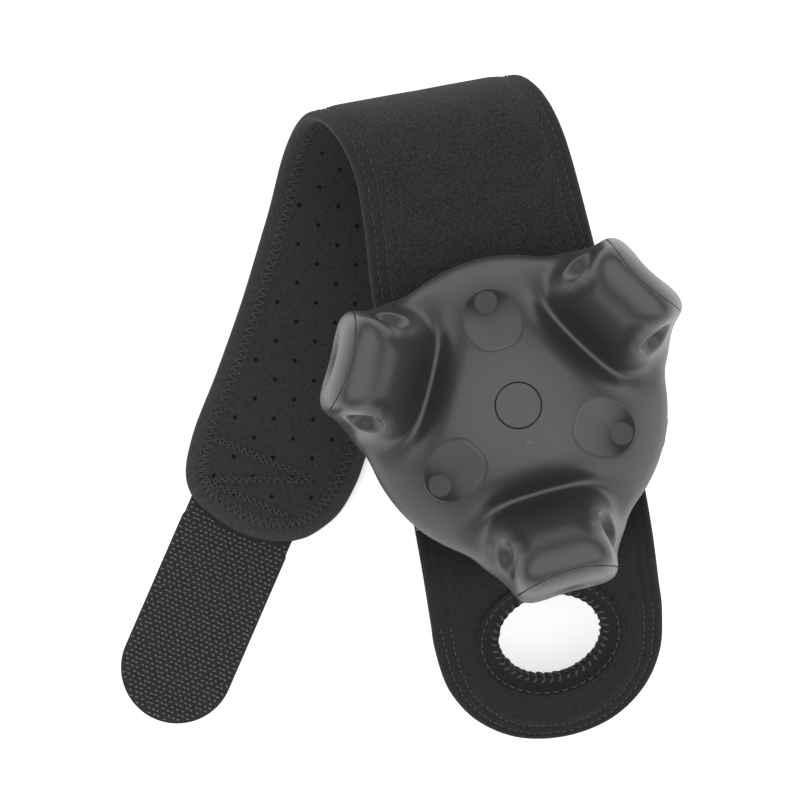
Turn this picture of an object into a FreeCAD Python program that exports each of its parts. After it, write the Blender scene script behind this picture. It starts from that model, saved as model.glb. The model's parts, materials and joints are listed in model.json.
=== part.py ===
import FreeCAD, Part

# A hand-worn motion tracker.  A domed tracker with three arms is screwed to a laminated foam hand band.
# The band has a thumb hole at one end, turns over in a loop, and ends in a tail with a hook tab.
# Row frame: +Z up, +Y along the front panel towards the loop, origin on the table under the middle of the box.
import math
import os

import Sketcher
from FreeCAD import Placement, Rotation, Vector

doc = FreeCAD.newDocument("hand_tracker")
sheet = doc.addObject("Spreadsheet::Sheet", "dims")

DIMENSIONS = [
    # the tracker
    ("tracker_height", 42.27),
    ("tip_radius", 49.8),
    ("dome_radius", 50.5),
    ("dome_top", 33.0),
    ("seam_height", 12.0),
    ("floor_height", 3.5),
    ("foot_radius", 27.0),
    ("wall", 2.0),
    ("arm_half_width", 14.0),
    ("cap_seam_radius", 45.4),
    ("tracker_turn", 5.5),
    # the sensor dimples
    ("dimple_wall_angle", 42.0),
    ("dimple_skin", 1.2),
    ("top_window_reach", 28.4),
    ("top_window_radius", 2.8),
    ("top_window_level", 20.9),
    ("top_dimple_height", 10.2),
    ("side_window_radius", 2.0),
    ("side_dimple_radius", 5.6),
    ("side_dimple_reach", 37.0),
    ("side_dimple_offset", 14.2),
    ("side_dimple_level", 29.5),
    ("side_dimple_rise", 24.0),
    ("side_dimple_depth", 3.2),
    ("end_window_radius", 2.4),
    ("end_dimple_radius", 6.8),
    ("end_dimple_level", 27.5),
    ("end_dimple_rise", 9.0),
    ("end_dimple_depth", 3.4),
    ("window_thickness", 1.2),
    ("diode_bore_radius", 1.7),
    # the tracker's base and its insides
    ("pad_thickness", 0.8),
    ("pad_radius", 25.0),
    ("pad_bore_radius", 8.0),
    ("base_thickness", 2.7),
    ("insert_radius", 5.0),
    ("insert_bore_radius", 3.3),
    ("insert_length", 8.6),
    ("board_radius", 27.0),
    ("board_thickness", 1.6),
    ("board_level", 10.4),
    ("battery_length", 34.0),
    ("battery_width", 33.0),
    ("battery_height", 6.5),
    ("button_radius", 6.0),
    ("button_gap", 0.25),
    ("button_travel", 0.4),
    ("switch_level", 27.7),
    ("pipe_radius", 0.8),
    ("pipe_reach", 10.0),
    ("port_width", 7.6),
    ("port_height", 2.8),
    ("port_direction", 335.0),
    ("post_reach", 31.0),
    ("post_radius", 3.0),
    ("post_direction", 75.0),
    ("screw_radius", 1.0),
    # the hand band
    ("band_half_width", 31.0),
    ("cover_thickness", 1.0),
    ("foam_thickness", 2.2),
    ("lining_thickness", 0.8),
    ("loop_radius", 20.0),
    ("loop_place", 68.0),
    ("thumb_hinge_place", -28.0),
    ("thumb_bend_radius", 25.0),
    ("thumb_slope", 38.0),
    ("thumb_straight", 57.0),
    ("thumb_hole_place", 20.8),
    ("thumb_hole_radius", 13.8),
    ("ring_radius", 20.3),
    ("ring_thickness", 0.6),
    ("hinge_gap", 2.4),
    ("tab_width", 30.6),
    ("tab_direction", 33.9),
    ("tab_start_across", -74.8),
    ("tab_start_along", -13.6),
    ("tab_hinge_reach", 8.5),
    ("tab_straight", 45.0),
    ("tab_base_thickness", 1.0),
    ("tab_hook_thickness", 0.7),
    ("tab_anchor_length", 17.0),
    ("tab_gap", 1.9),
    # the fixing screw
    ("plate_length", 46.0),
    ("plate_width", 36.0),
    ("plate_thickness", 1.8),
    ("bolt_radius", 3.15),
    ("bolt_head_radius", 8.5),
    ("bolt_head_height", 3.0),
    ("bolt_hole_radius", 3.4),
    # where the middle of the box lies in the tracker's own frame
    ("box_middle_across", -33.208),
    ("box_middle_along", 0.23),
]

for row, (alias, value) in enumerate(DIMENSIONS, start=1):
    sheet.set("A%d" % row, alias)
    sheet.set("B%d" % row, str(value))
    sheet.setAlias("B%d" % row, alias)
doc.recompute()


def dim(alias):
    return float(sheet.get(alias))


Z = Vector(0, 0, 1)
BAND = dim("cover_thickness") + dim("foam_thickness") + dim("lining_thickness")
FRONT_MIDDLE = BAND / 2 + 2 * dim("loop_radius")  # height of the front panel's mid-surface
FRONT_TOP = FRONT_MIDDLE + BAND / 2
ARM_DIRECTIONS = (30.0, 150.0, 270.0)
GAP_DIRECTIONS = (90.0, 210.0, 330.0)  # half-way between the arms

to_row = Placement(Vector(-dim("box_middle_across"), -dim("box_middle_along"), 0), Rotation())
to_tracker = to_row.multiply(Placement(Vector(0, 0, FRONT_TOP), Rotation(Z, dim("tracker_turn"))))
SUBPARTS = []


# ---------------------------------------------------------------- document helpers
def bind(thing, **expressions):
    """Ties properties to cells of the sheet."""
    for prop, expression in expressions.items():
        thing.setExpression(prop, expression)
    return thing


def finish(thing, label, placement):
    """Names a sub-part, puts it in its place and lists it for export."""
    thing.Label = label
    thing.Placement = placement.multiply(thing.Placement)
    SUBPARTS.append(thing)
    return thing


def shaped(label, shape, placement):
    """A free-form sub-part whose shape was worked out with Part's own functions."""
    thing = doc.addObject("Part::Feature", label)
    thing.Shape = shape
    return finish(thing, label, placement)


def cylinder(name, radius, height, place=Placement()):
    thing = doc.addObject("Part::Cylinder", name)
    bind(thing, Radius=radius, Height=height)
    thing.Placement = place
    return thing


def box(name, length, width, height, place=Placement()):
    """A box whose place is the middle of its bottom face."""
    thing = doc.addObject("Part::Box", name)
    bind(thing, Length=length, Width=width, Height=height)
    doc.recompute()
    corner = Vector(-thing.Length.Value / 2, -thing.Width.Value / 2, 0)
    thing.Placement = place.multiply(Placement(corner, Rotation()))
    return thing


def cut(name, base, tool):
    thing = doc.addObject("Part::Cut", name)
    thing.Base = base
    thing.Tool = tool
    return thing


def fuse(name, *shapes):
    thing = doc.addObject("Part::MultiFuse", name)
    thing.Shapes = list(shapes)
    return thing


def at(across, along, level, rotation=Rotation()):
    return Placement(Vector(across, along, level), rotation)


def polar(reach, direction, level=0.0):
    a = math.radians(direction)
    return Vector(reach * math.cos(a), reach * math.sin(a), level)


# ---------------------------------------------------------------- free-form helpers
def wire_of(*edges):
    return Part.Wire(Part.__sortEdges__([e.toShape() if hasattr(e, "toShape") else e for e in edges]))


def curve(points):
    """A smooth curve through points."""
    spline = Part.BSplineCurve()
    spline.interpolate(points)
    return spline.toShape()


def line(a, b):
    return Part.LineSegment(a, b).toShape()


def arc(a, b, c):
    return Part.Arc(a, b, c).toShape()


def flat(points):
    """A plane face with straight sides."""
    return Part.Face(Part.makePolygon(list(points) + [points[0]]))


def turned(profile):
    return Part.Face(profile).revolve(Vector(0, 0, 0), Z, 360)


# ---------------------------------------------------------------- tracker casing
def dome_level(reach, inset=0.0):
    radius = dim("dome_radius")
    return dim("dome_top") - radius + math.sqrt((radius - inset) ** 2 - reach**2)


def dome_reach(level, inset=0.0):
    radius = dim("dome_radius")
    return math.sqrt((radius - inset) ** 2 - (level - dim("dome_top") + radius) ** 2)


def body_of_revolution(inset):
    """The bowl and the dome above it, drawn in by inset on every side."""
    seam, floor = dim("seam_height"), dim("floor_height") + inset
    rim = dome_reach(seam, inset)
    foot = dim("foot_radius") + 1.0 - 0.5 * inset
    bowl_mid = Vector(rim - 3.4, 0, floor + 0.26 * (seam - floor))
    top = dim("dome_top") - inset
    half = 0.6 * rim
    return turned(
        wire_of(
            line(Vector(0, 0, floor), Vector(foot, 0, floor)),
            arc(Vector(foot, 0, floor), bowl_mid, Vector(rim, 0, seam)),
            arc(Vector(rim, 0, seam), Vector(half, 0, dome_level(half, inset)), Vector(0, 0, top)),
            line(Vector(0, 0, top), Vector(0, 0, floor)),
        )
    )


def prism(face, direction, half_width, turn):
    """A profile in the XZ plane, given thickness both ways along Y and turned about Z."""
    face = face.copy()
    face.translate(Vector(0, -half_width, 0))
    solid = face.extrude(Vector(0, 2 * half_width, 0))
    solid.rotate(Vector(0, 0, 0), Z, turn)
    return solid


def arm_outer(direction):
    """One arm: its side outline, kept inside a rounded front outline."""
    tip, top, half = dim("tip_radius"), dim("tracker_height"), dim("arm_half_width")
    root = Vector(16, 0, 12)
    heel = Vector(tip - 9.3, 0, 9.6)
    crest = [
        Vector(16, 0, 29.0),
        Vector(22.0, 0, 28.3),
        Vector(26.5, 0, 30.0),
        Vector(30.5, 0, top - 8.7),
        Vector(34.3, 0, top - 4.2),
        Vector(38, 0, top - 0.9),
        Vector(41.5, 0, top),
        Vector(45.4, 0, top - 1.6),
        Vector(48.5, 0, top - 7.0),
        Vector(tip, 0, top - 14.5),
        Vector(tip - 0.8, 0, 20.0),
        Vector(tip - 4.2, 0, 13.5),
        heel,
    ]
    side = Part.Face(wire_of(line(heel, root), line(root, crest[0]), curve(crest)))
    solid = prism(side, direction, half + 2, direction)
    r = 7.0
    front = [
        line(Vector(0, -half + 2, 5), Vector(0, half - 2, 5)),
        line(Vector(0, half - 2, 5), Vector(0, half, top - r - 4)),
        arc(Vector(0, half, top - r - 4), Vector(0, half - 1.9, top - 3.4), Vector(0, half - r, top + 0.2)),
        line(Vector(0, half - r, top + 0.2), Vector(0, r - half, top + 0.2)),
        arc(Vector(0, r - half, top + 0.2), Vector(0, 1.9 - half, top - 3.4), Vector(0, -half, top - r - 4)),
        line(Vector(0, -half, top - r - 4), Vector(0, 2 - half, 5)),
    ]
    outline = Part.Face(wire_of(*front)).extrude(Vector(60, 0, 0))
    outline.rotate(Vector(0, 0, 0), Z, direction)
    return solid.common(outline)


def arm_cavity(direction):
    tip, top, half = dim("tip_radius"), dim("tracker_height"), dim("arm_half_width")
    face = flat(
        [
            Vector(20, 0, 13),
            Vector(42, 0, 13.5),
            Vector(tip - 3.2, 0, 20),
            Vector(tip - 2.8, 0, top - 14),
            Vector(tip - 5.5, 0, top - 4.6),
            Vector(tip - 8.8, 0, top - 2.6),
            Vector(37.5, 0, top - 6.5),
            Vector(33, 0, top - 11.5),
            Vector(20, 0, 25.5),
        ]
    )
    return prism(face, direction, half - 3.6, direction)


def cone(bottom, axis, low_radius, slope, height):
    grow = height / math.tan(math.radians(slope))
    return Part.makeCone(low_radius, low_radius + grow, height, bottom, axis)


def dimple_list():
    """Every dimple: the middle of its window, its axis, window radius, wall slope and height."""
    found = []
    for direction in GAP_DIRECTIONS:
        centre = polar(dim("top_window_reach"), direction, dim("top_window_level"))
        row = ("top", centre, Vector(0, 0, 1), dim("top_window_radius"))
        found.append(row + (dim("dimple_wall_angle"), dim("top_dimple_height")))
    for direction in ARM_DIRECTIONS:
        out, across = polar(1, direction), polar(1, direction + 90)
        for side in (1, -1):
            rise = math.radians(dim("side_dimple_rise"))
            axis = across * (side * math.cos(rise)) + Z * math.sin(rise)
            depth = dim("side_dimple_depth")
            rim = out * dim("side_dimple_reach") + across * (side * dim("side_dimple_offset"))
            centre = rim + Z * dim("side_dimple_level") - axis * depth
            grow = dim("side_dimple_radius") - dim("side_window_radius")
            slope = math.degrees(math.atan2(depth, grow))
            found.append(("side", centre, axis, dim("side_window_radius"), slope, 3.0 * depth))
        rise = math.radians(dim("end_dimple_rise"))
        axis = out * math.cos(rise) + Z * math.sin(rise)
        depth = dim("end_dimple_depth")
        centre = out * dim("tip_radius") + Z * dim("end_dimple_level") - axis * depth
        grow = dim("end_dimple_radius") - dim("end_window_radius")
        slope = math.degrees(math.atan2(depth, grow))
        found.append(("end", centre, axis, dim("end_window_radius"), slope, 3.0 * depth))
    return found


def casing():
    """The whole hollow casing with its dimples, before it is parted into two shells."""
    outer = body_of_revolution(0.0).fuse([arm_outer(d) for d in ARM_DIRECTIONS])
    hollow = body_of_revolution(dim("wall")).fuse([arm_cavity(d) for d in ARM_DIRECTIONS])
    skin, thick = dim("dimple_skin"), dim("window_thickness")
    cups, cones = [], []
    for kind, centre, axis, radius, slope, height in dimple_list():
        cups.append(cone(centre - axis * (skin + thick), axis, radius + skin + 0.6, slope, height))
        cones.append(cone(centre, axis, radius, slope, height))
        cones.append(Part.makeCylinder(radius, thick + 0.01, centre - axis * thick, axis))
        low = centre - axis * (thick + skin + 0.5)
        cones.append(Part.makeCylinder(dim("diode_bore_radius"), skin + 1.0, low, axis))
    shell = outer.cut(hollow.cut(cups))
    return shell.cut(cones)


def lower_region():
    """Everything that belongs to the lower shell: the bowl, and each arm's end face."""
    seam = dim("seam_height")
    region = Part.makeCylinder(80, seam, Vector(0, 0, 0), Z)
    edge = dim("cap_seam_radius")
    face = flat(
        [
            Vector(38, 0, 2),
            Vector(38, 0, seam + 4),
            Vector(edge - 1.0, 0, seam + 8),
            Vector(edge, 0, 60),
            Vector(70, 0, 60),
            Vector(70, 0, 2),
        ]
    )
    return region.fuse([prism(face, d, 24, d) for d in ARM_DIRECTIONS])


def port_cutter():
    """The opening for the charging port, through the bowl's wall."""
    width, height = dim("port_width") + 0.8, dim("port_height") + 0.8
    block = Part.makeBox(16, width, height, Vector(32, -width / 2, port_level() - 0.4))
    block.rotate(Vector(0, 0, 0), Z, dim("port_direction"))
    return block


def port_level():
    return dim("seam_height") - dim("port_height") - 1.4


def posts(radius, low, high):
    """One round column beside each gap between arms."""
    turns = [dim("post_direction") + 120 * n for n in range(3)]
    return [Part.makeCylinder(radius, high - low, polar(dim("post_reach"), t, low), Z) for t in turns]


def board_bosses(radius, low, high):
    turns = [30 + 120 * n for n in range(3)]
    return [Part.makeCylinder(radius, high - low, polar(22, t, low), Z) for t in turns]


def make_shells():
    shell, region = casing(), lower_region()
    floor = dim("floor_height")
    inner = body_of_revolution(dim("wall") - 0.4)
    post_low = floor + dim("wall")
    upper_posts = [p.common(inner) for p in posts(dim("post_radius"), 9.0, 27.0)]
    upper = shell.cut(region).fuse(upper_posts)
    upper = upper.cut(posts(dim("screw_radius") + 0.1, 8.0, 16.0))
    upper = upper.cut(Part.makeCylinder(dim("button_radius") + dim("button_gap"), 20, Vector(0, 0, 22), Z))
    pipe_hole = Part.makeCylinder(dim("pipe_radius") + 0.05, 20, polar(dim("pipe_reach"), 270, 20), Z)
    upper = upper.cut(pipe_hole)
    shaped("top_shell", largest(upper), to_tracker)

    lower = shell.common(region)
    lower = lower.fuse([p.common(inner) for p in posts(dim("post_radius"), floor + 0.5, 9.0)])
    lower = lower.fuse(board_bosses(2.6, floor + 0.5, dim("board_level")))
    lower = lower.cut(posts(dim("screw_radius") + 0.1, 0.0, 9.5))
    lower = lower.cut(posts(2.1, 0.0, 7.2))
    lower = lower.cut(board_bosses(dim("screw_radius") + 0.1, post_low, 20))
    lower = lower.cut(port_cutter())
    lower = lower.cut(Part.makeCylinder(dim("insert_radius") + 0.02, 20, Vector(0, 0, -5), Z))
    shaped("bottom_shell", largest(lower), to_tracker)


def largest(shape):
    return max(shape.Solids, key=lambda s: s.Volume)


def make_windows():
    names = {"top": 0, "side": 0, "end": 0}
    diodes = []
    for kind, centre, axis, radius, slope, height in dimple_list():
        names[kind] += 1
        name = "%s_sensor_window_%d" % (kind, names[kind])
        thing = cylinder(name, "dims.%s_window_radius - 0.03" % kind, "dims.window_thickness")
        thick = dim("window_thickness")
        thing.Placement = Placement(centre - axis * thick, Rotation(Z, axis))
        finish(thing, name, to_tracker)
        diodes.append(Part.makeBox(2.2, 2.2, 0.7, Vector(-1.1, -1.1, 0)))
        diodes[-1].Placement = Placement(centre - axis * (thick + 0.72), Rotation(Z, axis)).multiply(
            diodes[-1].Placement
        )
    shaped("photodiodes", Part.makeCompound(diodes), to_tracker)


# ---------------------------------------------------------------- tracker base and insides
def plane_sketch(body, name, plane="XY_Plane"):
    sketch = body.newObject("Sketcher::SketchObject", name)
    origin = [f for f in body.Origin.OriginFeatures if f.Role == plane][0]
    sketch.AttachmentSupport = [(origin, "")]
    sketch.MapMode = "FlatFace"
    return sketch


def round_hole(sketch, across, along, radius):
    """A fully placed circle whose radius, and place where given as text, come from the sheet."""
    n = sketch.addGeometry(Part.Circle(Vector(1, 1, 0), Z, 5), False)
    c = sketch.addConstraint(Sketcher.Constraint("Radius", n, 5.0))
    sketch.setExpression("Constraints[%d]" % c, radius)
    if (across, along) == (0, 0):
        sketch.addConstraint(Sketcher.Constraint("Coincident", n, 3, -1, 1))
    else:
        sketch.addConstraint(Sketcher.Constraint("DistanceX", -1, 1, n, 3, float(across)))
        sketch.addConstraint(Sketcher.Constraint("DistanceY", -1, 1, n, 3, float(along)))
    return n


def rectangle(sketch, length, width, centre=(0.0, 0.0)):
    """A rectangle about a centre, its two sides driven by the sheet."""
    x, y = centre
    p = [Vector(x - 5, y - 4, 0), Vector(x + 5, y - 4, 0), Vector(x + 5, y + 4, 0), Vector(x - 5, y + 4, 0)]
    g = [sketch.addGeometry(Part.LineSegment(p[i], p[(i + 1) % 4]), False) for i in range(4)]
    for i in range(4):
        sketch.addConstraint(Sketcher.Constraint("Coincident", g[i], 2, g[(i + 1) % 4], 1))
        kind = "Horizontal" if i % 2 == 0 else "Vertical"
        sketch.addConstraint(Sketcher.Constraint(kind, g[i]))
    a = sketch.addConstraint(Sketcher.Constraint("DistanceX", g[0], 1, g[0], 2, 10.0))
    b = sketch.addConstraint(Sketcher.Constraint("DistanceY", g[1], 1, g[1], 2, 8.0))
    sketch.setExpression("Constraints[%d]" % a, length)
    sketch.setExpression("Constraints[%d]" % b, width)
    c = sketch.addConstraint(Sketcher.Constraint("DistanceX", -1, 1, g[0], 1, x - 5.0))
    e = sketch.addConstraint(Sketcher.Constraint("DistanceY", -1, 1, g[0], 1, y - 4.0))
    sketch.setExpression("Constraints[%d]" % c, "%s mm - (%s) / 2" % (x, length))
    sketch.setExpression("Constraints[%d]" % e, "%s mm - (%s) / 2" % (y, width))
    return g


def pad(body, sketch, length, name="pad"):
    thing = body.newObject("PartDesign::Pad", name)
    thing.Profile = sketch
    thing.setExpression("Length", length)
    return thing


def pocket(body, sketch, name="pocket", length=None):
    """A cut upwards from the sketch plane, right through unless a length is given."""
    before = body.Shape.Volume
    thing = body.newObject("PartDesign::Pocket", name)
    thing.Profile = sketch
    thing.Reversed = True
    if length is None:
        thing.Type = "ThroughAll"
    else:
        thing.setExpression("Length", length)
    doc.recompute()
    if body.Shape.Volume >= before - 1e-6:
        raise RuntimeError("%s cut nothing from %s" % (name, body.Name))
    return thing


def mm(alias):
    return "dims.%s * 1 mm" % alias


def upright_edges(shape):
    """The numbers of the edges that run along Z."""
    return [n for n, e in enumerate(shape.Edges, start=1) if abs(e.tangentAt(e.FirstParameter).z) > 0.9]


def round_plate(name, radius, thickness):
    body = doc.addObject("PartDesign::Body", name)
    sketch = plane_sketch(body, name + "_outline")
    round_hole(sketch, 0, 0, radius)
    pad(body, sketch, thickness, name + "_pad")
    doc.recompute()
    return body


def make_base():
    base = round_plate("docking_base", mm("foot_radius"), mm("base_thickness"))
    seat = plane_sketch(base, "insert_seat")
    round_hole(seat, 0, 0, "(dims.insert_radius + 0.02) * 1 mm")
    pocket(base, seat, "insert_bore")
    recess = plane_sketch(base, "contact_recess")
    rectangle(recess, "16 mm", "4 mm", (0.0, 15.0))
    pocket(base, recess, "contact_window")
    pin = plane_sketch(base, "pin_recess")
    round_hole(pin, 0, -14, "2.4 mm")
    pocket(base, pin, "pin_bore")
    finish(base, "docking_base", to_tracker.multiply(at(0, 0, dim("pad_thickness"))))

    ring = round_plate("friction_pad", mm("pad_radius"), mm("pad_thickness"))
    middle = plane_sketch(ring, "pad_middle")
    round_hole(middle, 0, 0, mm("pad_bore_radius"))
    pocket(ring, middle, "pad_bore")
    window = plane_sketch(ring, "pad_window")
    rectangle(window, "17 mm", "5 mm", (0.0, 15.0))
    pocket(ring, window, "pad_contact_window")
    finish(ring, "friction_pad", to_tracker)

    insert = cut(
        "threaded_insert_cut",
        cylinder("insert_body", mm("insert_radius"), mm("insert_length")),
        cylinder("insert_bore_tool", mm("insert_bore_radius"), mm("insert_length")),
    )
    finish(insert, "threaded_insert", to_tracker.multiply(at(0, 0, dim("pad_thickness"))))

    block = box("contact_block", "15.8 mm", "3.8 mm", mm("base_thickness"), at(0, 15, dim("pad_thickness")))
    finish(block, "contact_block", to_tracker)
    pins = []
    for n in range(6):
        pin = cylinder("contact_pin_%d" % n, "0.7 mm", "0.5 mm")
        pin.Placement = at(-6.25 + 2.5 * n, 15, dim("pad_thickness") - 0.5)
        pins.append(pin)
    finish(fuse("contact_pins_group", *pins), "contact_pins", to_tracker)


def make_insides():
    level, thick = dim("board_level"), dim("board_thickness")
    board = round_plate("main_board", mm("board_radius"), mm("board_thickness"))
    holes = plane_sketch(board, "board_screw_hole")
    place = polar(22, 30)
    round_hole(holes, place.x, place.y, "(dims.screw_radius + 0.15) * 1 mm")
    first = pocket(board, holes, "screw_hole")
    ring = board.newObject("PartDesign::PolarPattern", "screw_hole_ring")
    ring.Originals = [first]
    ring.Axis = ([f for f in board.Origin.OriginFeatures if f.Role == "Z_Axis"][0], [""])
    ring.Angle = 360
    ring.Occurrences = 3
    board.Tip = ring
    finish(board, "main_board", to_tracker.multiply(at(0, 0, level)))
    top = level + thick

    heads = []
    for n in range(3):
        place = polar(22, 30 + 120 * n, top)
        heads.append(cylinder("board_screw_head_%d" % n, "2 mm", "1.2 mm", Placement(place, Rotation())))
        low = Placement(place - Z * 5.5, Rotation())
        heads.append(cylinder("board_screw_shank_%d" % n, mm("screw_radius"), "5.5 mm", low))
    finish(fuse("board_screws_group", *heads), "board_screws", to_tracker)

    shanks = []
    for n in range(3):
        turn = dim("post_direction") + 120 * n
        low = Placement(polar(dim("post_reach"), turn, 5.4), Rotation())
        shanks.append(cylinder("case_screw_head_%d" % n, "1.95 mm", "1.75 mm", low))
        low = Placement(polar(dim("post_reach"), turn, 7.15), Rotation())
        shanks.append(cylinder("case_screw_shank_%d" % n, mm("screw_radius"), "8 mm", low))
    finish(fuse("case_screws_group", *shanks), "case_screws", to_tracker)

    cradle_floor = 1.0
    cradle = cut(
        "battery_cradle_cut",
        box(
            "cradle_block",
            "(dims.battery_length + 3) * 1 mm",
            "(dims.battery_width + 3) * 1 mm",
            "(dims.battery_height - 1) * 1 mm",
            at(0, 0, top + 1.3),
        ),
        box(
            "cradle_room",
            "(dims.battery_length + 0.6) * 1 mm",
            "(dims.battery_width + 0.6) * 1 mm",
            mm("battery_height"),
            at(0, 0, top + 1.3 + cradle_floor),
        ),
    )
    finish(cradle, "battery_cradle", to_tracker)
    battery_low = top + 1.3 + cradle_floor
    cell = box("battery_cell", mm("battery_length"), mm("battery_width"), mm("battery_height"))
    rounded = doc.addObject("Part::Fillet", "battery_rounded")
    rounded.Base = cell
    doc.recompute()
    rounded.Edges = [(n, 2.5, 2.5) for n in upright_edges(cell.Shape)]
    finish(rounded, "battery", to_tracker.multiply(at(0, 0, battery_low)))
    battery_top = battery_low + dim("battery_height")

    board_2 = dim("switch_level") - 3.4
    tower = cut(
        "switch_tower_cut",
        cylinder("tower_body", "8.4 mm", "%.3f mm" % (board_2 - battery_top - 0.05)),
        cylinder("tower_bore", "6.6 mm", "%.3f mm" % (board_2 - battery_top - 0.05)),
    )
    finish(tower, "switch_tower", to_tracker.multiply(at(0, 0, battery_top + 0.05)))
    small = round_plate("switch_board", "9 mm", "1 mm")
    finish(small, "switch_board", to_tracker.multiply(at(0, 0, board_2)))
    switch = fuse(
        "tact_switch_group",
        box("switch_case", "4.5 mm", "4.5 mm", "1.8 mm", at(0, 0, board_2 + 1)),
        cylinder("switch_plunger", "1.2 mm", "0.6 mm", at(0, 0, board_2 + 2.8)),
    )
    finish(switch, "tact_switch", to_tracker)

    led = box("led_case", "1.6 mm", "1.2 mm", "0.6 mm", at(0, -7.0, board_2 + 1))
    finish(led, "status_led", to_tracker)
    reach = dim("pipe_reach")
    rod = Part.makeCylinder(dim("pipe_radius"), 12, Vector(0, -reach, board_2 + 1.8), Z)
    rod = rod.common(Part.makeSphere(dim("dome_radius"), Vector(0, 0, dim("dome_top") - dim("dome_radius"))))
    foot = Part.makeBox(1.6, reach - 6.2, 0.9, Vector(-0.8, -reach - 0.5, board_2 + 1.8))
    shaped("light_pipe", rod.fuse(foot).removeSplitter(), to_tracker)

    port_place = Placement(Vector(), Rotation(Z, dim("port_direction")))
    socket = cut(
        "usb_socket_cut",
        box("socket_case", "7 mm", mm("port_width"), mm("port_height"), at(35.2, 0, port_level())),
        box("socket_mouth", "5.5 mm", "(dims.port_width - 0.8) * 1 mm", "(dims.port_height - 0.8) * 1 mm",
            at(36.6, 0, port_level() + 0.4)),
    )
    finish(socket, "usb_socket", to_tracker.multiply(port_place))
    chips = fuse(
        "chips_group",
        box("processor", "9 mm", "9 mm", "1 mm", at(-4, 6, level - 1)),
        box("radio_chip", "6 mm", "6 mm", "0.9 mm", at(12, -8, level - 0.9)),
        box("memory_chip", "5 mm", "4 mm", "0.9 mm", at(-14, -8, level - 0.9)),
    )
    finish(chips, "circuit_chips", to_tracker)
    antenna = box("antenna_strip", "14 mm", "2.4 mm", "1 mm", at(0, 22.2, top))
    finish(antenna, "radio_antenna", to_tracker)


def make_button():
    radius, under = dim("button_radius"), dim("dome_top") - dim("wall")
    globe = Part.makeSphere(dim("dome_radius"), Vector(0, 0, dim("dome_top") - dim("dome_radius")))
    cap = Part.makeCylinder(radius, 6, Vector(0, 0, under - 2.0), Z).common(globe)
    flange = Part.makeCylinder(radius + 1.1, 1.2, Vector(0, 0, under - 2.0), Z)
    gap = dim("button_travel") + 0.1
    low = dim("switch_level") + gap
    stem = Part.makeCylinder(1.4, under - 2.0 - low, Vector(0, 0, low), Z)
    shaped("power_button", cap.fuse([flange, stem]).removeSplitter(), to_tracker)


# ---------------------------------------------------------------- hand band
LAYERS = {  # distance from the mid-surface, from the outer face inwards
    "cover": (BAND / 2 - dim("cover_thickness"), BAND / 2),
    "foam": (dim("lining_thickness") - BAND / 2, BAND / 2 - dim("cover_thickness")),
    "lining": (-BAND / 2, dim("lining_thickness") - BAND / 2),
}
WIDE = 90.0
# the band's two edges across the loop, at equal turns from the front panel round to the tail
LOOP_LEFT = (-29.5, -31.6, -35.0, -39.0, -43.2, -47.8, -52.4)
LOOP_RIGHT = (27.4, 25.3, 22.0, 18.3, 14.5, 10.4, 5.8)


def front_outline():
    """Plan of the front panel, from the thumb hinge to the loop."""
    half, hinge, place = dim("band_half_width"), dim("thumb_hinge_place"), dim("loop_place")
    left = [Vector(-half, 28, 0), Vector(-30.7, 40, 0), Vector(-29.7, 54, 0), Vector(LOOP_LEFT[0], place, 0)]
    right = [Vector(half, 0, 0), Vector(30.6, 20, 0), Vector(29.4, 44, 0), Vector(LOOP_RIGHT[0], place, 0)]
    corner_l, corner_r = Vector(-half, hinge, 0), Vector(half, hinge, 0)
    return Part.Face(
        wire_of(
            line(corner_l, left[0]),
            curve(left),
            line(left[-1], right[-1]),
            curve(right),
            line(right[0], corner_r),
            line(corner_r, corner_l),
        )
    )


def tail_outline():
    """Plan of the tail, from the loop to its rounded end and back."""
    place = dim("loop_place")
    middle = [
        (-57, 58.8), (-64.6, 44), (-74.9, 26), (-84.6, 10), (-88.2, 0), (-87.4, -6.2), (-83.2, -12),
        (-76.2, -18.4), (-67.2, -22.4), (-58, -22.4), (-49.6, -18.2), (-43.2, -11), (-38, -2.2), (-27.5, 14.5),
        (-13, 38),
    ]
    p = [Vector(LOOP_LEFT[-1], place, 0)]
    p += [Vector(x, y, 0) for x, y in middle]
    p.append(Vector(LOOP_RIGHT[-1], place, 0))
    return Part.Face(wire_of(curve(p), line(p[-1], p[0])))


def column(face, low=-5.0, high=60.0):
    face = face.copy()
    face.translate(Vector(0, 0, low))
    return face.extrude(Vector(0, 0, high - low))


def slab(low_y, high_y, low_z, high_z):
    return Part.makeBox(2 * WIDE, high_y - low_y, high_z - low_z, Vector(-WIDE - 20, low_y, low_z))


def loop_layer(low, high):
    """One layer of the loop: a half-tube whose two edges wander sideways as the band turns over."""
    radius, place = dim("loop_radius"), dim("loop_place")
    sections = []
    last = len(LOOP_LEFT) - 1
    for n in range(2 * last + 1):
        a = math.pi * n / (2 * last)
        left = (LOOP_LEFT[n // 2] + LOOP_LEFT[(n + 1) // 2]) / 2
        right = (LOOP_RIGHT[n // 2] + LOOP_RIGHT[(n + 1) // 2]) / 2
        corners = []
        for x, r in ((left, low), (left, high), (right, high), (right, low)):
            reach = radius + r
            corners.append(Vector(x, place + reach * math.sin(a), BAND / 2 + radius + reach * math.cos(a)))
        sections.append(Part.makePolygon(corners + [corners[0]]))
    return Part.makeLoft(sections, True, False)


def thumb_frame():
    """Carries the flat thumb panel (X across, -Y along it) onto its slope, from the end of its bend."""
    slope, radius = dim("thumb_slope"), dim("thumb_bend_radius")
    a = math.radians(slope)
    y = dim("thumb_hinge_place") - radius * math.sin(a)
    z = FRONT_MIDDLE - radius * (1 - math.cos(a))
    return Placement(Vector(0, y, z), Rotation(Vector(1, 0, 0), slope))


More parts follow.
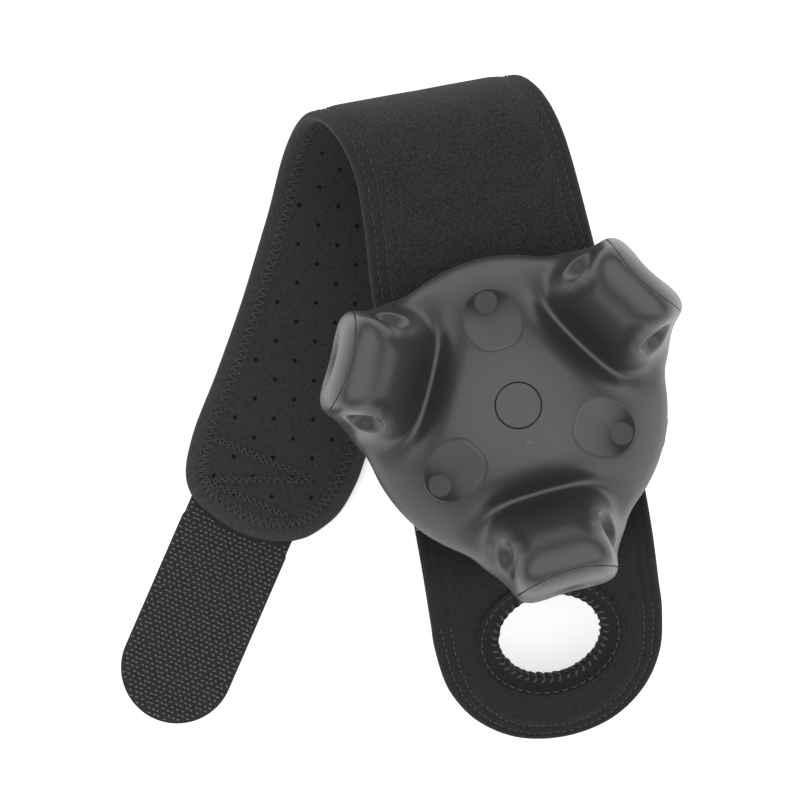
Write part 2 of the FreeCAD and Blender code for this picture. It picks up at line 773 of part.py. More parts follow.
def thumb_outline():
    """Plan of the thumb panel in its own plane: straight sides and a long rounded end."""
    half, length = dim("band_half_width"), dim("thumb_straight")
    shoulder = -dim("thumb_hole_place") + 2.0
    end = [Vector(-half, shoulder + 8, 0), Vector(-half, shoulder, 0)]
    for n in range(1, 8):
        a = math.pi * n / 8
        side = math.copysign(abs(math.cos(a)) ** 0.94, math.cos(a))
        end.append(Vector(-half * side, shoulder - (length + shoulder) * math.sin(a) ** 0.94, 0))
    end += [Vector(half, shoulder, 0), Vector(half, shoulder + 8, 0)]
    arch = curve(end)
    far = 45.0
    a, b = Vector(-half, far, 0), Vector(half, far, 0)
    return Part.Face(wire_of(line(a, end[0]), arch, line(end[-1], b), line(b, a)))


def thumb_layer(low, high):
    """One layer of the thumb panel: its bend, its slope, its outline and its hole."""
    frame = thumb_frame()
    radius, slope = dim("thumb_bend_radius"), dim("thumb_slope")
    centre = Vector(-WIDE - 20, dim("thumb_hinge_place"), FRONT_MIDDLE - radius)
    side = Vector(1, 0, 0)
    tube = Part.makeCylinder(radius + high, 2 * WIDE, centre, side)
    tube = tube.cut(Part.makeCylinder(radius + low, 2 * WIDE, centre, side))
    tube = tube.common(slab(centre.y - 80, centre.y, centre.z, 80))
    keep = Part.makeBox(2 * WIDE, 200, 200, Vector(-WIDE - 20, 0, -100))
    keep.Placement = frame.multiply(keep.Placement)
    bend = tube.common(keep)
    straight = Part.makeBox(2 * WIDE, 90, high - low, Vector(-WIDE - 20, -90, low))
    straight.Placement = frame.multiply(straight.Placement)
    outline = thumb_outline()
    outline.translate(Vector(0, 0, -30))
    outline = outline.extrude(Vector(0, 0, 60))
    outline.Placement = frame.multiply(outline.Placement)
    solid = bend.fuse(straight).common(outline)
    hole = Part.makeCylinder(dim("thumb_hole_radius"), 60, Vector(0, -dim("thumb_hole_place"), -30), Z)
    hole.Placement = frame.multiply(hole.Placement)
    return solid.cut(hole).removeSplitter()


def tab_frame():
    """The hook tab's own frame: -Y along the tab, from where it shows beyond the tail."""
    start = Vector(dim("tab_start_across"), dim("tab_start_along"), 0)
    return Placement(start, Rotation(Z, -dim("tab_direction")))


def tab_strip(near, far, low, high, rounded=False, inset=0.0):
    """A stretch of the tab between two distances along it, measured from its start."""
    half = dim("tab_width") / 2 - inset
    solid = Part.makeBox(2 * half, far - near, high - low, Vector(-half, -far, low))
    if rounded:
        solid = solid.fuse(Part.makeCylinder(half, high - low, Vector(0, -far, low), Z)).removeSplitter()
    solid.Placement = tab_frame().multiply(solid.Placement)
    return solid


def make_band():
    place, hinge = dim("loop_place"), dim("thumb_hinge_place")
    above, below = column(front_outline()), column(tail_outline())
    bolt_hole = Part.makeCylinder(dim("bolt_hole_radius"), 80, Vector(0, 0, 0), Z)
    thick = dim("tab_base_thickness")
    anchor_room = tab_strip(-dim("tab_anchor_length") - 0.2, 12, -1, thick, inset=-0.2)
    for name, (low, high) in LAYERS.items():
        front = slab(hinge + dim("hinge_gap"), place, FRONT_MIDDLE + low, FRONT_MIDDLE + high)
        shaped("front_" + name, front.common(above).cut(bolt_hole), to_row)
        shaped("loop_" + name, loop_layer(low, high), to_row)
        tail = slab(-60, place, BAND / 2 - high, BAND / 2 - low).common(below)
        shaped("tail_" + name, tail.cut(anchor_room), to_row)
        shaped("thumb_" + name, thumb_layer(low, high), to_row)


def make_ring():
    ring = Part.makeCylinder(dim("ring_radius"), dim("ring_thickness"), Vector(0, 0, BAND / 2), Z)
    ring = ring.cut(Part.makeCylinder(dim("thumb_hole_radius"), 9, Vector(0, 0, 0), Z))
    place = to_row.multiply(thumb_frame()).multiply(at(0, -dim("thumb_hole_place"), 0))
    shaped("thumb_ring", ring, place)


def make_tab():
    hinge, straight = dim("tab_hinge_reach"), dim("tab_straight")
    thick, hooks = dim("tab_base_thickness"), dim("tab_hook_thickness")
    anchor = tab_strip(-dim("tab_anchor_length"), hinge - dim("tab_gap"), 0, thick)
    shaped("tab_anchor", anchor, to_row)
    shaped("tab_base", tab_strip(hinge, straight, 0, thick, rounded=True), to_row)
    field = tab_strip(hinge + 0.6, straight, thick, thick + hooks, rounded=True, inset=0.6)
    shaped("tab_hooks", field, to_row)


def make_fixing():
    under = FRONT_MIDDLE - BAND / 2
    plate = doc.addObject("PartDesign::Body", "clamp_plate")
    outline = plane_sketch(plate, "plate_outline")
    rectangle(outline, mm("plate_width"), mm("plate_length"))
    blank = pad(plate, outline, mm("plate_thickness"), "plate_pad")
    doc.recompute()
    uprights = ["Edge%d" % n for n in upright_edges(blank.Shape)]
    rounded = plate.newObject("PartDesign::Fillet", "plate_corners")
    rounded.Base = (blank, uprights)
    rounded.Radius = 12
    doc.recompute()
    bore = plane_sketch(plate, "plate_bore")
    round_hole(bore, 0, 0, mm("bolt_hole_radius"))
    pocket(plate, bore, "plate_hole")
    finish(plate, "clamp_plate", to_row.multiply(at(0, 0, under - dim("plate_thickness"))))

    washer_top = under - dim("plate_thickness")
    washer = cut(
        "bolt_washer_cut",
        cylinder("washer_body", "7 mm", "0.6 mm"),
        cylinder("washer_bore", mm("bolt_hole_radius"), "0.6 mm"),
    )
    finish(washer, "bolt_washer", to_row.multiply(at(0, 0, washer_top - 0.6)))
    head_top = washer_top - 0.65
    head = cylinder("bolt_head", mm("bolt_head_radius"), mm("bolt_head_height"))
    head.Placement = at(0, 0, head_top - dim("bolt_head_height"))
    shank_length = FRONT_TOP + 6.5 - head_top
    shank = cylinder("bolt_shank", mm("bolt_radius"), "%.3f mm" % shank_length, at(0, 0, head_top))
    slot = box("coin_slot", "18 mm", "1.6 mm", "1.4 mm", at(0, 0, head_top - dim("bolt_head_height")))
    notches = []
    for n in range(18):
        notch = cylinder("grip_notch_%d" % n, "0.7 mm", mm("bolt_head_height"))
        notch.Placement = Placement(
            polar(dim("bolt_head_radius") + 0.25, 20 * n, head_top - dim("bolt_head_height")), Rotation()
        )
        notches.append(notch)
    body = fuse("bolt_body", head, shank)
    tools = fuse("bolt_tools", slot, *notches)
    finish(cut("fixing_bolt_cut", body, tools), "fixing_bolt", to_row)


def main():
    make_shells()
    make_windows()
    make_base()
    make_insides()
    make_button()
    make_band()
    make_ring()
    make_tab()
    make_fixing()
    doc.recompute()
    os.makedirs("parts", exist_ok=True)
    for old in os.listdir("parts"):
        os.remove(os.path.join("parts", old))
    for thing in doc.Objects:
        if "Invalid" in thing.State or "Error" in thing.State:
            raise RuntimeError("%s did not build: %s" % (thing.Label, thing.State))
    for thing in SUBPARTS:
        shape = thing.Shape
        if shape.isNull() or not shape.isValid() or shape.Volume < 1e-3:
            raise RuntimeError("%s has no sound shape" % thing.Label)
        shape.exportStep(os.path.join("parts", thing.Label + ".step"))
    everything = Part.makeCompound([t.Shape for t in SUBPARTS]).BoundBox
    print("box", everything)
    for thing in SUBPARTS:
        print("%-24s %2d solids %10.1f mm3" % (thing.Label, len(thing.Shape.Solids), thing.Shape.Volume))


main()
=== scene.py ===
import json
import math

import bpy
import numpy as np
from mathutils import Matrix, Vector


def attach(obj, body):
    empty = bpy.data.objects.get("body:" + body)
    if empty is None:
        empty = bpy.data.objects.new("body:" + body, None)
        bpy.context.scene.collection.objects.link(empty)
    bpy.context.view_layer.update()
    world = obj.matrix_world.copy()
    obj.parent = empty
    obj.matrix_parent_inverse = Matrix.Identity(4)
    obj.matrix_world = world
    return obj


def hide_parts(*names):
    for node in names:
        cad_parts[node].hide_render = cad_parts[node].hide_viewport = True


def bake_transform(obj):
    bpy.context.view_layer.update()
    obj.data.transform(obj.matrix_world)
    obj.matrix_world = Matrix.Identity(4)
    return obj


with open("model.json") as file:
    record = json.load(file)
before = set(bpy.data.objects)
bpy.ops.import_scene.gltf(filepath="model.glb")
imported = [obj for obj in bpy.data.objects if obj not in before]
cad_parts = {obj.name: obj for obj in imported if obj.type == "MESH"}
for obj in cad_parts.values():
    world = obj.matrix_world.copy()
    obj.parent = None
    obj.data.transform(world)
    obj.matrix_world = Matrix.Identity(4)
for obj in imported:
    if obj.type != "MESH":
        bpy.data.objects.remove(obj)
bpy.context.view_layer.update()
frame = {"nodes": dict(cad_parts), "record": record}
NODES = frame["nodes"]
SHIFT = np.array([33.208, -0.23, 0.0])  # the tracker's axis in the row frame, in mm
BAND_TOP = 44.0
BALL, SUNK = 50.5, 17.5  # the dome is a ball of this radius, its centre this far below the tracker's foot
BOWL = 41.8
BUTTON_HOLE = 6.06
FOOT_HOLE = 5.06
FOOT = 3.5
CENTRE_OUT, CENTRE_UP = 24.0, 8.0  # in any upright plane, the whole skin can be seen from this point
TURN = math.radians(5.5)
ARMS = np.radians([30.0, 150.0, 270.0])
GAPS = np.radians([90.0, 210.0, 330.0])
chance = np.random.default_rng(11)


# ------------------------------------------------------------------ meshes
def make_mesh(name, points, faces, material, flat=None, values=None, smooth=True):
    """A mesh object from points in mm in the row frame and a list of (n, 3) or (n, 4) corner arrays.
    flat holds each point's place on the unrolled cloth in mm; values holds named numbers for each point."""
    points = np.asarray(points, float).reshape(-1, 3)
    faces = [np.asarray(f, np.int32) for f in (faces if isinstance(faces, list) else [faces]) if len(f)]
    corners = np.concatenate([f.ravel() for f in faces])
    totals = np.concatenate([np.full(len(f), f.shape[1], np.int32) for f in faces])
    starts = np.concatenate([[0], np.cumsum(totals)[:-1]]).astype(np.int32)
    mesh = bpy.data.meshes.new(name)
    mesh.vertices.add(len(points))
    mesh.vertices.foreach_set("co", (points * 0.001).astype(np.float32).ravel())
    mesh.loops.add(len(corners))
    mesh.loops.foreach_set("vertex_index", corners)
    mesh.polygons.add(len(totals))
    mesh.polygons.foreach_set("loop_start", starts)
    mesh.polygons.foreach_set("loop_total", totals)
    mesh.update(calc_edges=True)
    mesh.polygons.foreach_set("use_smooth", np.full(len(totals), smooth))
    if flat is not None:
        layer = mesh.uv_layers.new(name="flat")
        unrolled = np.asarray(flat).reshape(-1, 2)[corners] * 0.01
        layer.data.foreach_set("uv", unrolled.astype(np.float32).ravel())
    for key, numbers in (values or {}).items():
        attribute = mesh.attributes.new(key, "FLOAT", "POINT")
        attribute.data.foreach_set("value", np.asarray(numbers, np.float32).ravel())
    mesh.validate()
    thing = bpy.data.objects.new(name, mesh)
    bpy.context.scene.collection.objects.link(thing)
    mesh.materials.append(material)
    return thing


def quads(rows, columns, wrap=False, close=False, flip=False):
    """Corners of the four-sided faces of a grid numbered row by row.
    wrap joins the last column to the first, and close joins the last row to the first."""
    n = np.arange(rows * columns).reshape(rows, columns)
    if wrap:
        n = np.concatenate([n, n[:, :1]], axis=1)
    if close:
        n = np.concatenate([n, n[:1]])
    f = np.stack([n[:-1, :-1], n[:-1, 1:], n[1:, 1:], n[1:, :-1]], axis=-1).reshape(-1, 4)
    return f[:, ::-1] if flip else f


def lathe(name, profile, material, centre=(0, 0, 0), axis=(0, 0, 1), count=96):
    """A profile of (reach, height) pairs turned once about an axis through centre."""
    p = np.asarray(profile, float)
    a = np.linspace(0, 2 * math.pi, count, endpoint=False)
    axis = np.asarray(axis, float) / np.linalg.norm(axis)
    side = np.cross(axis, [1.0, 0.0, 0.0] if abs(axis[0]) < 0.9 else [0.0, 1.0, 0.0])
    side /= np.linalg.norm(side)
    other = np.cross(axis, side)
    ring = np.cos(a)[:, None] * side + np.sin(a)[:, None] * other
    points = np.asarray(centre) + p[:, None, :1] * ring + p[:, None, 1:] * axis
    return make_mesh(name, points, quads(len(p), count, wrap=True, flip=True), material)


# ------------------------------------------------------------------ shaders
def put(tree, sockets, values):
    """Fills sockets by name, each with a number or another node's output."""
    for key, value in values.items():
        if isinstance(value, bpy.types.NodeSocket):
            tree.links.new(value, sockets[key])
        else:
            sockets[key].default_value = value


def add(tree, kind, inputs=None, **settings):
    """One shader node."""
    node = tree.nodes.new(kind)
    for key, value in settings.items():
        setattr(node, key, value)
    put(tree, node.inputs, inputs or {})
    return node


def maths(tree, operation, a, b=0.0, c=0.0, clamp=False):
    return add(tree, "ShaderNodeMath", {0: a, 1: b, 2: c}, operation=operation, use_clamp=clamp).outputs[0]


def limits(tree, value, low, high):
    """0 up to low, 1 from high on, and even in between."""
    span = {"Value": value, "From Min": low, "From Max": high}
    return add(tree, "ShaderNodeMapRange", span).outputs[0]


def blend_fields(tree, share, a, b):
    """Colours a and b mixed: all a where share is 0, all b where it is 1."""
    mix = {"Factor": share, "A": a, "B": b}
    return add(tree, "ShaderNodeMix", mix, data_type="RGBA").outputs["Result"]


def effect(name, inputs, outputs):
    """An empty shared node group with named sockets; gives its tree, its inputs and its outputs."""
    tree = bpy.data.node_groups.new(name, "ShaderNodeTree")
    for label, kind, value in inputs:
        socket = tree.interface.new_socket(name=label, in_out="INPUT", socket_type=kind)
        if value is not None:
            socket.default_value = value
    for label, kind in outputs:
        tree.interface.new_socket(name=label, in_out="OUTPUT", socket_type=kind)
    return tree, tree.nodes.new("NodeGroupInput").outputs, tree.nodes.new("NodeGroupOutput").inputs


VEC, NUM, COL = "NodeSocketVector", "NodeSocketFloat", "NodeSocketColor"


def grain_effect():
    """Moulded or rolled grain: fine noise for height, and a slow change of shade and roughness."""
    tree, i, o = effect(
        "grain",
        [("Vector", VEC, None), ("Colour", COL, (0.1, 0.1, 0.1, 1)), ("Fineness", NUM, 3000.0),
         ("Shade", NUM, 0.08), ("Roughness", NUM, 0.5), ("Roughness Spread", NUM, 0.06)],
        [("Colour", COL), ("Roughness", NUM), ("Height", NUM)],
    )
    fine = add(tree, "ShaderNodeTexNoise", {"Vector": i["Vector"], "Scale": i["Fineness"], "Detail": 3.0})
    slow = add(tree, "ShaderNodeTexNoise", {"Vector": i["Vector"], "Scale": 60.0, "Detail": 4.0})
    drift = maths(tree, "SUBTRACT", slow.outputs["Fac"], 0.5)
    shade = maths(tree, "MULTIPLY_ADD", drift, i["Shade"], 1.0)
    tint = add(tree, "ShaderNodeVectorMath", {0: i["Colour"], 1: shade}, operation="MULTIPLY")
    rough = maths(tree, "MULTIPLY_ADD", drift, i["Roughness Spread"], i["Roughness"])
    put(tree, o, {"Colour": tint.outputs[0], "Roughness": rough, "Height": fine.outputs["Fac"]})
    return tree


def pile_effect():
    """Brushed loop pile: small curls from two noises, lighter on their crowns, with short tufts of shade."""
    tree, i, o = effect(
        "pile",
        [("Vector", VEC, None), ("Dark", COL, (0.01, 0.01, 0.01, 1)), ("Light", COL, (0.05, 0.05, 0.05, 1)),
         ("Fineness", NUM, 110.0)],
        [("Colour", COL), ("Height", NUM)],
    )
    curls = add(tree, "ShaderNodeTexNoise", {"Vector": i["Vector"], "Scale": i["Fineness"], "Detail": 5.0,
                                             "Roughness": 0.68, "Distortion": 0.9})
    tufts = add(tree, "ShaderNodeTexNoise", {"Vector": i["Vector"], "Scale": 14.0, "Detail": 3.0})
    crowns = limits(tree, curls.outputs["Fac"], 0.38, 0.66)
    mixed = maths(tree, "MULTIPLY_ADD", tufts.outputs["Fac"], 0.35, crowns)
    spread = maths(tree, "SUBTRACT", mixed, 0.17, clamp=True)
    tint = blend_fields(tree, spread, i["Dark"], i["Light"])
    put(tree, o, {"Colour": tint, "Height": curls.outputs["Fac"]})
    return tree


def knit_effect():
    """Fine smooth knit: rows of tiny ribs crossed by a finer wave, with a little noise."""
    tree, i, o = effect(
        "knit",
        [("Vector", VEC, None), ("Dark", COL, (0.01, 0.01, 0.01, 1)), ("Light", COL, (0.05, 0.05, 0.05, 1)),
         ("Ribs", NUM, 60.0)],
        [("Colour", COL), ("Height", NUM)],
    )
    ribs = add(tree, "ShaderNodeTexWave", {"Vector": i["Vector"], "Scale": i["Ribs"], "Distortion": 1.2,
                                           "Detail": 2.0, "Detail Scale": 3.0}, bands_direction="X")
    cross = add(tree, "ShaderNodeTexWave", {"Vector": i["Vector"], "Scale": i["Ribs"], "Distortion": 1.0,
                                            "Detail": 2.0}, bands_direction="Y")
    fuzz = add(tree, "ShaderNodeTexNoise", {"Vector": i["Vector"], "Scale": 90.0, "Detail": 4.0})
    loops = maths(tree, "MULTIPLY", ribs.outputs["Fac"], cross.outputs["Fac"])
    height = maths(tree, "MULTIPLY_ADD", loops, 0.45, fuzz.outputs["Fac"])
    fac = maths(tree, "SUBTRACT", height, 0.2, clamp=True)
    put(tree, o, {"Colour": blend_fields(tree, fac, i["Dark"], i["Light"]), "Height": height})
    return tree


def punched_effect():
    """Punched holes on a slanting square lattice: 0 inside a hole, 1 on the cloth round it."""
    tree, i, o = effect("punched", [("Vector", VEC, None), ("Pitch", NUM, 0.075), ("Radius", NUM, 0.0062)],
                        [("Solid", NUM)])
    slant = add(tree, "ShaderNodeVectorRotate", {"Vector": i["Vector"], "Angle": math.radians(33)},
                rotation_type="Z_AXIS")
    cell = add(tree, "ShaderNodeVectorMath", {0: slant.outputs[0], 1: i["Pitch"]}, operation="DIVIDE")
    part = add(tree, "ShaderNodeVectorMath", {0: cell.outputs[0]}, operation="FRACTION")
    middle = add(tree, "ShaderNodeVectorMath", {0: part.outputs[0], 1: (0.5, 0.5, 0.0)},
                 operation="SUBTRACT")
    level = add(tree, "ShaderNodeVectorMath", {0: middle.outputs[0], 1: (1.0, 1.0, 0.0)},
                operation="MULTIPLY")
    reach = add(tree, "ShaderNodeVectorMath", {0: level.outputs[0]}, operation="LENGTH")
    far = maths(tree, "MULTIPLY", reach.outputs["Value"], i["Pitch"])
    share = maths(tree, "DIVIDE", far, i["Radius"])
    put(tree, o, {"Solid": limits(tree, share, 0.75, 1.15)})
    return tree


GRAIN, PILE, KNIT, PUNCHED = grain_effect(), pile_effect(), knit_effect(), punched_effect()


def grey(value, tint=(1.0, 1.0, 1.03)):
    return (value * tint[0], value * tint[1], value * tint[2], 1.0)


def material(name):
    made = bpy.data.materials.new(name)
    made.use_nodes = True
    tree = made.node_tree
    return made, tree, tree.nodes["Principled BSDF"]


def bumped(tree, height, strength, distance):
    bump = {"Height": height, "Strength": strength, "Distance": distance}
    return add(tree, "ShaderNodeBump", bump).outputs["Normal"]


def plain(name, colour, roughness, metallic=0.0, fineness=3000.0, shade=0.12, spread=0.1, bump=0.1, coat=0.0,
          specular=0.5):
    """A moulded, turned or printed finish with the shared grain."""
    made, tree, shader = material(name)
    place = add(tree, "ShaderNodeTexCoord").outputs["Object"]
    grain = add(tree, "ShaderNodeGroup",
                {"Vector": place, "Colour": (*colour, 1.0), "Fineness": fineness, "Shade": shade,
                 "Roughness": roughness, "Roughness Spread": spread}, node_tree=GRAIN).outputs
    put(tree, shader.inputs,
        {"Base Color": grain["Colour"], "Roughness": grain["Roughness"], "Metallic": metallic,
         "Coat Weight": coat, "Specular IOR Level": specular,
         "Normal": bumped(tree, grain["Height"], bump, 0.00005)})
    return made


def fabric(name, kind, dark, light, scale, strength, distance, sheen, edge=None, holes=False):
    """Cloth from the shared pile or knit.
    edge gives a smooth margin's two shades and its width in mm; holes adds a punched lattice inside it."""
    made, tree, shader = material(name)
    place = add(tree, "ShaderNodeUVMap", uv_map="flat").outputs["UV"]
    cloth = add(tree, "ShaderNodeGroup",
                {"Vector": place, "Dark": grey(dark), "Light": grey(light), 3: scale}, node_tree=kind).outputs
    colour, height = cloth["Colour"], cloth["Height"]
    if edge:
        margin = add(tree, "ShaderNodeGroup",
                     {"Vector": place, "Dark": grey(edge[0]), "Light": grey(edge[1]), "Ribs": 55.0},
                     node_tree=KNIT).outputs
        reach = add(tree, "ShaderNodeAttribute", attribute_name="edge").outputs["Fac"]
        wander = add(tree, "ShaderNodeTexNoise", {"Vector": place, "Scale": 60.0, "Detail": 2.0})
        drift = maths(tree, "SUBTRACT", wander.outputs["Fac"], 0.5)
        reach = maths(tree, "ADD", reach, maths(tree, "MULTIPLY", drift, 0.9))
        inside = limits(tree, reach, edge[2], edge[2] + 0.5)
        colour = blend_fields(tree, inside, margin["Colour"], colour)
        height = add(tree, "ShaderNodeMix", {"Factor": inside, "A": margin["Height"], "B": height}).outputs[0]
    if holes:
        lattice = add(tree, "ShaderNodeGroup", {"Vector": place}, node_tree=PUNCHED).outputs["Solid"]
        solid = maths(tree, "MAXIMUM", lattice, maths(tree, "SUBTRACT", 1.0, limits(tree, reach, 7.0, 7.2)))
        colour = blend_fields(tree, solid, (0.0015, 0.0015, 0.0015, 1), colour)
        height = maths(tree, "ADD", height, maths(tree, "MULTIPLY", solid, 4.0))
    put(tree, shader.inputs,
        {"Base Color": colour, "Roughness": 0.95, "Specular IOR Level": 0.2, "Sheen Weight": sheen,
         "Sheen Roughness": 0.6, "Normal": bumped(tree, height, strength, distance)})
    return made


SHELL, BUTTON = (
    plain(name, (0.0240, 0.0240, 0.0249), 0.37, fineness=2600.0, shade=0.05, spread=0.05, specular=0.72)
    for name in ("soft_touch_shell", "button_cap")
)
WINDOW = plain("window_tint", (0.015, 0.009, 0.013), 0.24, shade=0.1, bump=0.02)
# The window rims are a lighter grey than the shell. That is a painted highlight, standing in for the light
# caught on each window's edge.
WINDOW_RIM_HIGHLIGHT = plain("window_rim_painted_highlight", (0.035, 0.033, 0.036), 0.3, bump=0.05)
THREAD = plain("sewing_thread", (0.040, 0.040, 0.042), 0.8, fineness=5000.0, shade=0.3, bump=0.4)
PILE_CLOTH = fabric("loop_pile_cloth", PILE, 0.008, 0.040, 170.0, 0.8, 0.0005, 0.06, (0.014, 0.034, 6.0))
LINING_CLOTH = fabric("lining_cloth", KNIT, 0.015, 0.047, 75.0, 0.5, 0.0002, 0.05, (0.022, 0.062, 3.4), True)
# The thumb panel's cloth is the band's loop pile, made darker here. That is painted shade on the sloping
# thumb panel.
THUMB_CLOTH_PAINTED_SHADE = fabric("thumb_pile_cloth_painted_shade", PILE, 0.005, 0.021, 170.0, 0.8, 0.0005, 0.04, (0.007, 0.022, 4.0))
RING_CLOTH = fabric("ring_cloth", KNIT, 0.004, 0.014, 60.0, 0.6, 0.0003, 0.05)
TAPE = fabric("tab_tape", KNIT, 0.014, 0.042, 90.0, 0.6, 0.0002, 0.05)
HOOK = plain("hook_bristle", (0.13, 0.13, 0.135), 0.45, bump=0.05)
SLOT_LOOKS = {
    "chip_black": plain("epoxy_black", (0.02, 0.02, 0.022), 0.45),
    "base_black": plain("moulded_black", (0.022, 0.022, 0.024), 0.5, bump=0.2),
    "pad_rubber": plain("grip_rubber", (0.014, 0.014, 0.015), 0.8, fineness=1500.0, bump=0.5),
    "brass_insert": plain("turned_brass", (0.62, 0.45, 0.2), 0.3, 1.0),
    "gold_pins": plain("plated_pins", (0.75, 0.55, 0.22), 0.22, 1.0),
    "board_green": plain("solder_mask", (0.01, 0.10, 0.04), 0.4, coat=0.3),
    "screw_steel": plain("plated_steel", (0.45, 0.45, 0.47), 0.32, 1.0),
    "port_steel": plain("stamped_steel", (0.5, 0.5, 0.52), 0.3, 1.0),
    "bolt_steel": plain("turned_steel", (0.33, 0.33, 0.35), 0.35, 1.0),
    "battery_wrap": plain("cell_foil", (0.3, 0.32, 0.35), 0.35, 0.6),
    "led_white": plain("led_lens", (0.8, 0.8, 0.74), 0.3),
    "clear_plastic": plain("pipe_plastic", (0.075, 0.075, 0.08), 0.3),
    "ceramic_white": plain("ceramic", (0.7, 0.68, 0.62), 0.4),
    "window_dark": WINDOW,
    "shell_grey": SHELL,
}


# ------------------------------------------------------------------ tracker casing
def smooth_max(a, b, k):
    """The larger of a and b, with a round of width k where they cross."""
    h = np.clip(0.5 + 0.5 * (a - b) / k, 0, 1)
    return b + (a - b) * h + k * h * (1 - h)


def smooth_step(x):
    x = np.clip(x, 0, 1)
    return x * x * (3 - 2 * x)


def dome_height(reach):
    """The dome's height over the tracker's foot, at a distance from its axis."""
    return math.sqrt(BALL**2 - reach**2) - SUNK


# An arm's crest: distance from the tracker's axis, and height.
CREST = np.array([
    (6, -8.0), (10, 2.0), (14, 8.0), (18, 14.0), (21, 18.6), (24, 23.4), (27, 28.2), (30.5, 33.6),
    (34, 38.4), (37.5, 41.5), (41, 42.7), (44.5, 42.0), (48, 39.0), (52, 32.0), (56, 22.0),
])


def turned(x, y, angle):
    """x and y turned by an angle."""
    c, s = math.cos(angle), math.sin(angle)
    return x * c - y * s, x * s + y * c


def bisect(low, high, outside):
    """Where outside() turns true between low and high, halved 24 times."""
    for _ in range(24):
        middle = (low + high) / 2
        out = outside(middle)
        high, low = np.where(out, middle, high), np.where(out, low, middle)
    return low


def casing_distance(x, y, z):
    """Roughly the distance in mm from the casing's skin, below 0 inside it.
    The body is a ball's cap above an ellipsoid's bowl, with an ellipsoid scooped out of it before every arm.
    Each arm lies under a curved crest, between flared flanks. All of them melt together, more softly
    further out."""
    r = np.hypot(x, y)
    dome = np.hypot(r, z + SUNK) - BALL
    sunk = np.minimum(z - 13, 0)
    near, far = np.hypot(r / BOWL, sunk / 12.95), np.hypot(r / BOWL**2, sunk / 12.95**2)
    bowl = near * (near - 1) / np.maximum(far, 1e-6)
    body = smooth_max(smooth_max(dome, bowl, 4.0), FOOT - z, 1.0)
    for turn in ARMS:
        u, v = turned(x, y, -turn)
        near = np.sqrt(((u - 32.0) / 12.0) ** 2 + (v / 31.0) ** 2 + ((z - 38.0) / 25.0) ** 2)
        far = np.sqrt(((u - 32.0) / 144.0) ** 2 + (v / 961.0) ** 2 + ((z - 38.0) / 625.0) ** 2)
        body = smooth_max(body, near * (1 - near) / np.maximum(far, 1e-6), 5.5)
    for turn in ARMS:
        u, v = turned(x, y, -turn)
        v = np.abs(v)
        slope = np.interp(u, CREST_LINE[:, 0], CREST_SLOPE)
        top = (z - np.interp(u, CREST_LINE[:, 0], CREST_LINE[:, 1]) + 0.007 * v**2) / np.sqrt(1 + slope**2)
        end = (u - 50.0) * 0.996 + (z - 28.0) * 0.087
        heel = (u - 49.6) * 0.66 - (z - 15.5) * 0.75
        neck = 12.3 + 0.28 * np.maximum(37 - z, 0)
        tip = 13.2 + 0.08 * np.maximum(37 - z, 0)
        side = (v - neck - (tip - neck) * smooth_step((u - 37) / 9)) * 0.95
        arm = smooth_max(top, end, 6.0)
        arm = smooth_max(smooth_max(arm, heel, 8.0), 9.0 - z, 4.0)
        arm = smooth_max(arm, side, 8.0 - 2.5 * smooth_step((u - 32) / 10))
        body = -smooth_max(-body, -arm, 2.6 + 2.4 * smooth_step((r - 26) / 10))
    return body


def casing_slope(p):
    """The skin's outward direction at points p."""
    e = 0.02
    steps = np.eye(3) * e
    g = np.stack([casing_distance(*(p + s).T) - casing_distance(*(p - s).T) for s in steps], axis=-1)
    return g / np.maximum(np.linalg.norm(g, axis=-1, keepdims=True), 1e-9)


def find_skin(turn, angle):
    """Where a ray from the centre, in the upright plane at turn, leaves the casing."""
    def place(far):
        reach = CENTRE_OUT + far * np.cos(angle)
        return reach * np.cos(turn), reach * np.sin(turn), CENTRE_UP + far * np.sin(angle)

    far = bisect(np.zeros(angle.shape), np.full(angle.shape, 45.0), lambda q: casing_distance(*place(q)) > 0)
    return np.stack(place(far), axis=-1)


def casing_grid(around, along):
    """Points over the whole casing: lines from the button's rim over the skin to the middle of the floor.
    Lines crowd together on the arms' flanks, and each line's points are evenly spaced along it."""
    fine = np.linspace(0, 2 * math.pi, 7201)
    apart = np.min([np.abs((fine - a + math.pi) % (2 * math.pi) - math.pi) for a in ARMS], axis=0)
    weight = 1 + 2.4 * np.exp(-(((np.degrees(apart) - 17.0) / 6.0) ** 2))
    total = np.concatenate([[0], np.cumsum((weight[1:] + weight[:-1]) / 2)])
    turn = np.interp(np.arange(around) / around, total / total[-1], fine)[:, None]
    first = math.atan2(dome_height(BUTTON_HOLE) - CENTRE_UP, BUTTON_HOLE - CENTRE_OUT)
    last = math.atan2(FOOT - CENTRE_UP, FOOT_HOLE - CENTRE_OUT)
    rough = np.linspace(first, last, 260)[None, :] + np.zeros((around, 1))
    skin = find_skin(turn, rough)
    step = np.linalg.norm(np.diff(skin, axis=1), axis=2)
    length = np.concatenate([np.zeros((around, 1)), np.cumsum(step, axis=1)], axis=1)
    share = np.linspace(0, 1, along)
    angle = np.array([np.interp(share * s[-1], s, a) for s, a in zip(length, rough)])
    return find_skin(turn, angle)


def seam_side(p):
    """Below 0 on the upper shell, above 0 on the lower shell, which also has the arms' end faces."""
    side = 12.0 - p[..., 2]
    for turn in ARMS:
        u, v = turned(p[..., 0], p[..., 1], -turn)
        edge = 44.3 + 2.2 * (v / 12.0) ** 2
        side = np.maximum(side, np.where(u > 20, u - edge, -9.0))
    return side


def seam_direction(p):
    """Along the skin, square to the seam, towards the lower shell."""
    e = 0.02
    g = np.stack([seam_side(p + s) - seam_side(p - s) for s in np.eye(3) * e], axis=-1) / (2 * e)
    n = casing_slope(p)
    g = g - np.sum(g * n, axis=-1, keepdims=True) * n
    return g / np.maximum(np.linalg.norm(g, axis=-1, keepdims=True), 1e-6)


